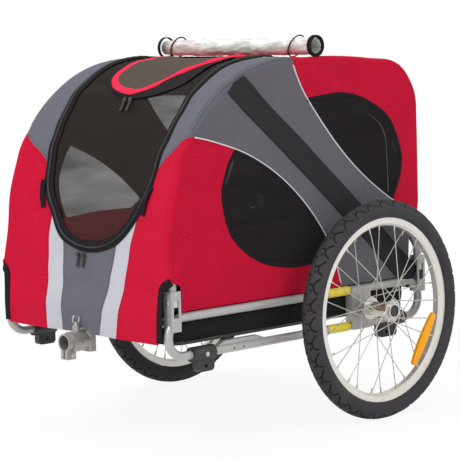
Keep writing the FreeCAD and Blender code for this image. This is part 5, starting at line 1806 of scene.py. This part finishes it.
def turned_verts(profile, sides):
    """Solid of revolution about Z from (radius, height) points, closed at both ends."""
    verts, faces = [], []
    for r, z in profile:
        for i in range(sides):
            a = 2 * math.pi * i / sides
            verts.append(Vector((r * math.cos(a), r * math.sin(a), z)))
    for k in range(len(profile) - 1):
        for i in range(sides):
            j = (i + 1) % sides
            faces.append((k * sides + i, k * sides + j, (k + 1) * sides + j, (k + 1) * sides + i))
    faces.append(tuple(reversed(range(sides))))
    faces.append(tuple((len(profile) - 1) * sides + i for i in range(sides)))
    return verts, faces


NIPPLE = ((0.0020, 0.0), (0.0023, 0.003), (0.0021, 0.009), (0.0014, 0.0125))
SPOKE_HEAD = ((0.0019, 0.0), (0.0022, 0.0006), (0.0014, 0.0014))
SPOKES = 28
RIM_SEAT, RIM_OFFSET = 0.1915, 0.0045
FLANGE_SEAT, FLANGE_OFFSET = 0.0222, 0.0342


def wheel_details():
    """Spoke nipples at the rims and spoke heads on the hub flanges."""
    nipple, nipple_faces = turned_verts(NIPPLE, 8)
    head, head_faces = turned_verts(SPOKE_HEAD, 8)
    for side, mirror in SIDES:
        sign = -1 if mirror else 1
        for row, out, turn in (("outer_", 1, 0), ("inner_", -1, 1)):
            shift = Vector((sign * out * RIM_OFFSET, 0, 0))
            points = [Vector((v.x, v.y, RIM_SEAT - v.z)) + shift for v in nipple]
            source = new_object("nipple", points, nipple_faces, finish("zinc"))
            about_axle(source, side, "nipples_" + row + side, "zinc", SPOKES // 2,
                       math.pi / 2 + 2 * math.pi / SPOKES * turn)
        for row, out in (("outer_", 1), ("inner_", -1)):
            points = [Vector((sign * out * (FLANGE_OFFSET + v.z), v.x, FLANGE_SEAT + v.y)) for v in head]
            source = new_object("head", points, head_faces, finish("zinc"))
            about_axle(source, side, "spoke_heads_" + row + side, "zinc", SPOKES // 2,
                       0.11 * out)


# Start, length, width and height of a slider's body, tab and tab end
SLIDER_BLOCKS = ((0.0, 0.010, 0.0090, 0.0040), (0.0085, 0.019, 0.0060, 0.0022),
                 (0.0255, 0.006, 0.0078, 0.0030))
SLIDER_LIFT = 0.0042


def zip_pulls():
    """Sliders with tabs at the front window and the sunroof flap."""
    tip = roof_s(AXLE_Y - 0.436)
    spots = [(-0.0275, front_s(0.4095)), (-0.0095, front_s(0.4095)), (-0.0130, tip), (0.0060, tip)]
    across = Vector((1, 0, 0))
    verts, faces = [], []
    for x, s in spots:
        foot = on_sheet(x, s, SLIDER_LIFT)
        down = (on_sheet(x, s - 0.02, SLIDER_LIFT) - foot).normalized()
        out = down.cross(across).normalized()
        if out.dot(Vector((0, -1, 0.5))) < 0:
            out = -out
        for start, length, width, height in SLIDER_BLOCKS:
            v, f = soft_block(length, width, height)
            faces += [tuple(len(verts) + i for i in face) for face in f]
            verts += [foot + down * (start + p.x) + across * p.y + out * (p.z + 0.0006) for p in v]
    pulls = new_object("zip_sliders", verts, faces, finish("zip"), [(v.x, v.z) for v in verts])
    tidy_normals(pulls)
    hold(pulls, "black_cloth", "zip_pulls", sheet=False)


def soft_block(length, width, height):
    """Small block with bevelled edges, from x = 0 to its length."""
    work = bmesh.new()
    bmesh.ops.create_cube(work, size=1.0)
    bmesh.ops.scale(work, vec=(length, width, height), verts=work.verts)
    bmesh.ops.translate(work, vec=(length / 2, 0, height / 2), verts=work.verts)
    bevel = min(length, width, height) * 0.28
    bmesh.ops.bevel(work, geom=list(work.edges), offset=bevel, segments=2, affect="EDGES", profile=0.6)
    return taken_from(work)


# CAD nodes that show as they are, by finish
HARD_LOOKS = {
    "frame paint": ("side_loop_left", "side_loop_right", "cross_tubes", "front_hoop", "rear_hoop",
                    "floor_rests", "front_brackets", "rear_brackets", "axle_plates"),
    "block alloy": ("hoop_stop_blocks",),
    "zinc": ("bracket_rivets", "pivot_pins", "hitch_pinch_bolt", "clamp_bolts", "lock_pin", "lock_ring",
             "stub_axles", "bearings_left", "bearings_right"),
    "cast alloy": ("hitch_receiver",),
    "hub alloy": ("hub_left", "hub_right"),
    "rim alloy": ("rim_left", "rim_right"),
    "spoke wire": ("spokes_left", "spokes_right"),
    "amber": ("reflector_left", "reflector_right"),
    "black plastic": ("release_button_left", "release_button_right", "front_clamps", "rear_clamps",
                      "floor_board"),
    "sleeve": ("rail_bands",),
}


def hard_finishes():
    """Puts their finishes on the CAD nodes that show as they are."""
    for name, nodes in HARD_LOOKS.items():
        for node in nodes:
            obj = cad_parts[node]
            if not obj.material_slots:
                obj.data.materials.append(finish(name))
            for slot in obj.material_slots:
                slot.material = finish(name)


# Stage

EYE = Vector((3.04076844, -3.04562018 + AXLE_Y, 0.86675488))
EYE_RIGHT = Vector((0.69240788, 0.72123075, -0.01993836))
EYE_UP = Vector((-0.06244871, 0.08743791, 0.99421063))
EYE_BACK = Vector((0.71879864, -0.68715414, 0.10558263))
LIT_POINT = Vector((0, 0.05, 0.45))
FLOOR_REACH = 14
# Place, size and share of the key light's power
LAMPS = {"key": ((0.4, -4.2, 3.6), 2.6, 1.0), "side": ((4.2, 0.4, 2.7), 2.4, 0.38),
         "top": ((-1.6, 0.3, 4.6), 3.0, 0.62)}


def stage():
    """Camera at the photograph's angle, pale floor and soft light."""
    settings = stage_settings()
    camera = bpy.data.cameras.new("camera")
    camera.sensor_width = 36
    camera.sensor_fit = "HORIZONTAL"
    camera.lens = settings.lens
    camera.clip_end = 60
    eye = put("camera", camera)
    eye.matrix_world = Matrix.Translation(EYE) @ Matrix((EYE_RIGHT, EYE_UP, EYE_BACK)).transposed().to_4x4()
    bpy.context.scene.camera = eye
    corners = [(x * FLOOR_REACH, y * FLOOR_REACH, 0) for x, y in ((-1, -1), (1, -1), (1, 1), (-1, 1))]
    floor = new_object("floor", corners, [(0, 1, 2, 3)], floor_finish(settings.floor), smooth=False)
    for name, (place, size, share) in LAMPS.items():
        lamp = bpy.data.lights.new(name, "AREA")
        lamp.size = size
        lamp.energy = settings.key * share
        obj = put(name, lamp)
        obj.location = place
        obj.rotation_euler = (LIT_POINT - Vector(place)).to_track_quat("-Z", "Y").to_euler()
    world = bpy.data.worlds.new("studio")
    world.use_nodes = True
    bpy.context.scene.world = world
    w = Wiring(world.node_tree)
    background = world.node_tree.nodes["Background"]
    settle(background, {"Color": (1, 1, 1, 1)})
    level = w.math("ADD", w.math("MULTIPLY", w.seen_directly(), 1.0 - settings.fill), settings.fill)
    w.link(level, background.inputs["Strength"])
    bpy.context.scene.view_settings.view_transform = "Standard"


def floor_finish(colour):
    """Pale floor that keeps the shadow and fades to white for the camera."""
    material, shader, w = start_material("pale floor")
    settle(shader, {"Base Color": (*colour, 1), "Roughness": 0.9, "Specular IOR Level": 0.1})
    white = w.add("ShaderNodeEmission")
    settle(white, {"Strength": 1.0})
    reach = w.fed("ShaderNodeVectorMath", w.place(), operation="LENGTH").outputs["Value"]
    fade = w.math("MULTIPLY", w.seen_directly(), w.ramp(reach, 0.5, 1.5, 0.90, 1.0))
    mix = w.fed("ShaderNodeMixShader", fade)
    w.link(shader.outputs[0], mix.inputs[1])
    w.link(white.outputs[0], mix.inputs[2])
    w.link(mix.outputs[0], material.node_tree.nodes["Material Output"].inputs["Surface"])
    return material


class TRAILER_OT_stage(bpy.types.Operator):
    """Sets the camera, floor and light"""

    bl_idname = "trailer.stage"
    bl_label = "Stage"

    def execute(self, context):
        stage()
        return {"FINISHED"}


class TRAILER_OT_cabin_front(bpy.types.Operator):
    """Cuts and lays the front, brow, roof and rear cloth"""

    bl_idname = "trailer.cabin_front"
    bl_label = "Front, roof and rear cloth"

    def execute(self, context):
        cabin_front_and_roof()
        return {"FINISHED"}


class TRAILER_OT_flap(bpy.types.Operator):
    """Lays the net flap on the roof"""

    bl_idname = "trailer.flap"
    bl_label = "Sunroof flap"

    def execute(self, context):
        sunroof_flap()
        return {"FINISHED"}


class TRAILER_OT_sides(bpy.types.Operator):
    """Cuts and lays the side panels, windows and piping"""

    bl_idname = "trailer.sides"
    bl_label = "Side cloth"

    def execute(self, context):
        cabin_sides()
        side_bands()
        return {"FINISHED"}


class TRAILER_OT_small_trims(bpy.types.Operator):
    """Adds the zip sliders"""

    bl_idname = "trailer.small_trims"
    bl_label = "Zip sliders"

    def execute(self, context):
        zip_pulls()
        return {"FINISHED"}


class TRAILER_OT_roll(bpy.types.Operator):
    """Rolls the clear rain cover"""

    bl_idname = "trailer.roll"
    bl_label = "Rain cover"

    def execute(self, context):
        rain_cover_roll()
        return {"FINISHED"}


class TRAILER_OT_tub(bpy.types.Operator):
    """Hangs the floor tub, its lining and the hoops' sleeves"""

    bl_idname = "trailer.tub"
    bl_label = "Floor tub"

    def execute(self, context):
        floor_tub()
        inner_lining()
        hoop_sleeves()
        return {"FINISHED"}


class TRAILER_OT_wheels(bpy.types.Operator):
    """Moulds the tyres and adds nipples and spoke heads"""

    bl_idname = "trailer.wheels"
    bl_label = "Wheels"

    def execute(self, context):
        tyres()
        wheel_details()
        return {"FINISHED"}


class TRAILER_OT_finishes(bpy.types.Operator):
    """Paints the metal and plastic pieces"""

    bl_idname = "trailer.finishes"
    bl_label = "Metal and plastic finishes"

    def execute(self, context):
        hard_finishes()
        return {"FINISHED"}


STEPS = (TRAILER_OT_stage, TRAILER_OT_cabin_front, TRAILER_OT_flap, TRAILER_OT_sides, TRAILER_OT_small_trims,
         TRAILER_OT_roll, TRAILER_OT_tub, TRAILER_OT_wheels, TRAILER_OT_finishes)


class TRAILER_PT_dressing(bpy.types.Panel):
    """Lists the steps and the settings"""

    bl_idname = "TRAILER_PT_dressing"
    bl_label = "Trailer dressing"
    bl_space_type = "VIEW_3D"
    bl_region_type = "UI"
    bl_category = "Trailer"

    def draw(self, context):
        column = self.layout.column()
        for group in (context.scene.trailer_cloth, context.scene.trailer_hard, context.scene.trailer_stage):
            for name in group.__annotations__:
                column.prop(group, name)
        for step in STEPS:
            column.operator(step.bl_idname)


CLASSES = (TrailerClothSettings, TrailerHardSettings, TrailerStageSettings, *STEPS, TRAILER_PT_dressing)


def register():
    for item in CLASSES:
        bpy.utils.register_class(item)
    bpy.types.Scene.trailer_cloth = PointerProperty(type=TrailerClothSettings)
    bpy.types.Scene.trailer_hard = PointerProperty(type=TrailerHardSettings)
    bpy.types.Scene.trailer_stage = PointerProperty(type=TrailerStageSettings)


def unregister():
    del bpy.types.Scene.trailer_stage
    del bpy.types.Scene.trailer_hard
    del bpy.types.Scene.trailer_cloth
    for item in reversed(CLASSES):
        bpy.utils.unregister_class(item)


def main():
    register()
    bpy.ops.trailer.stage()
    bpy.ops.trailer.finishes()
    bpy.ops.trailer.cabin_front()
    bpy.ops.trailer.flap()
    bpy.ops.trailer.sides()
    bpy.ops.trailer.small_trims()
    bpy.ops.trailer.roll()
    bpy.ops.trailer.tub()
    bpy.ops.trailer.wheels()


if __name__ == "__main__":
    main()
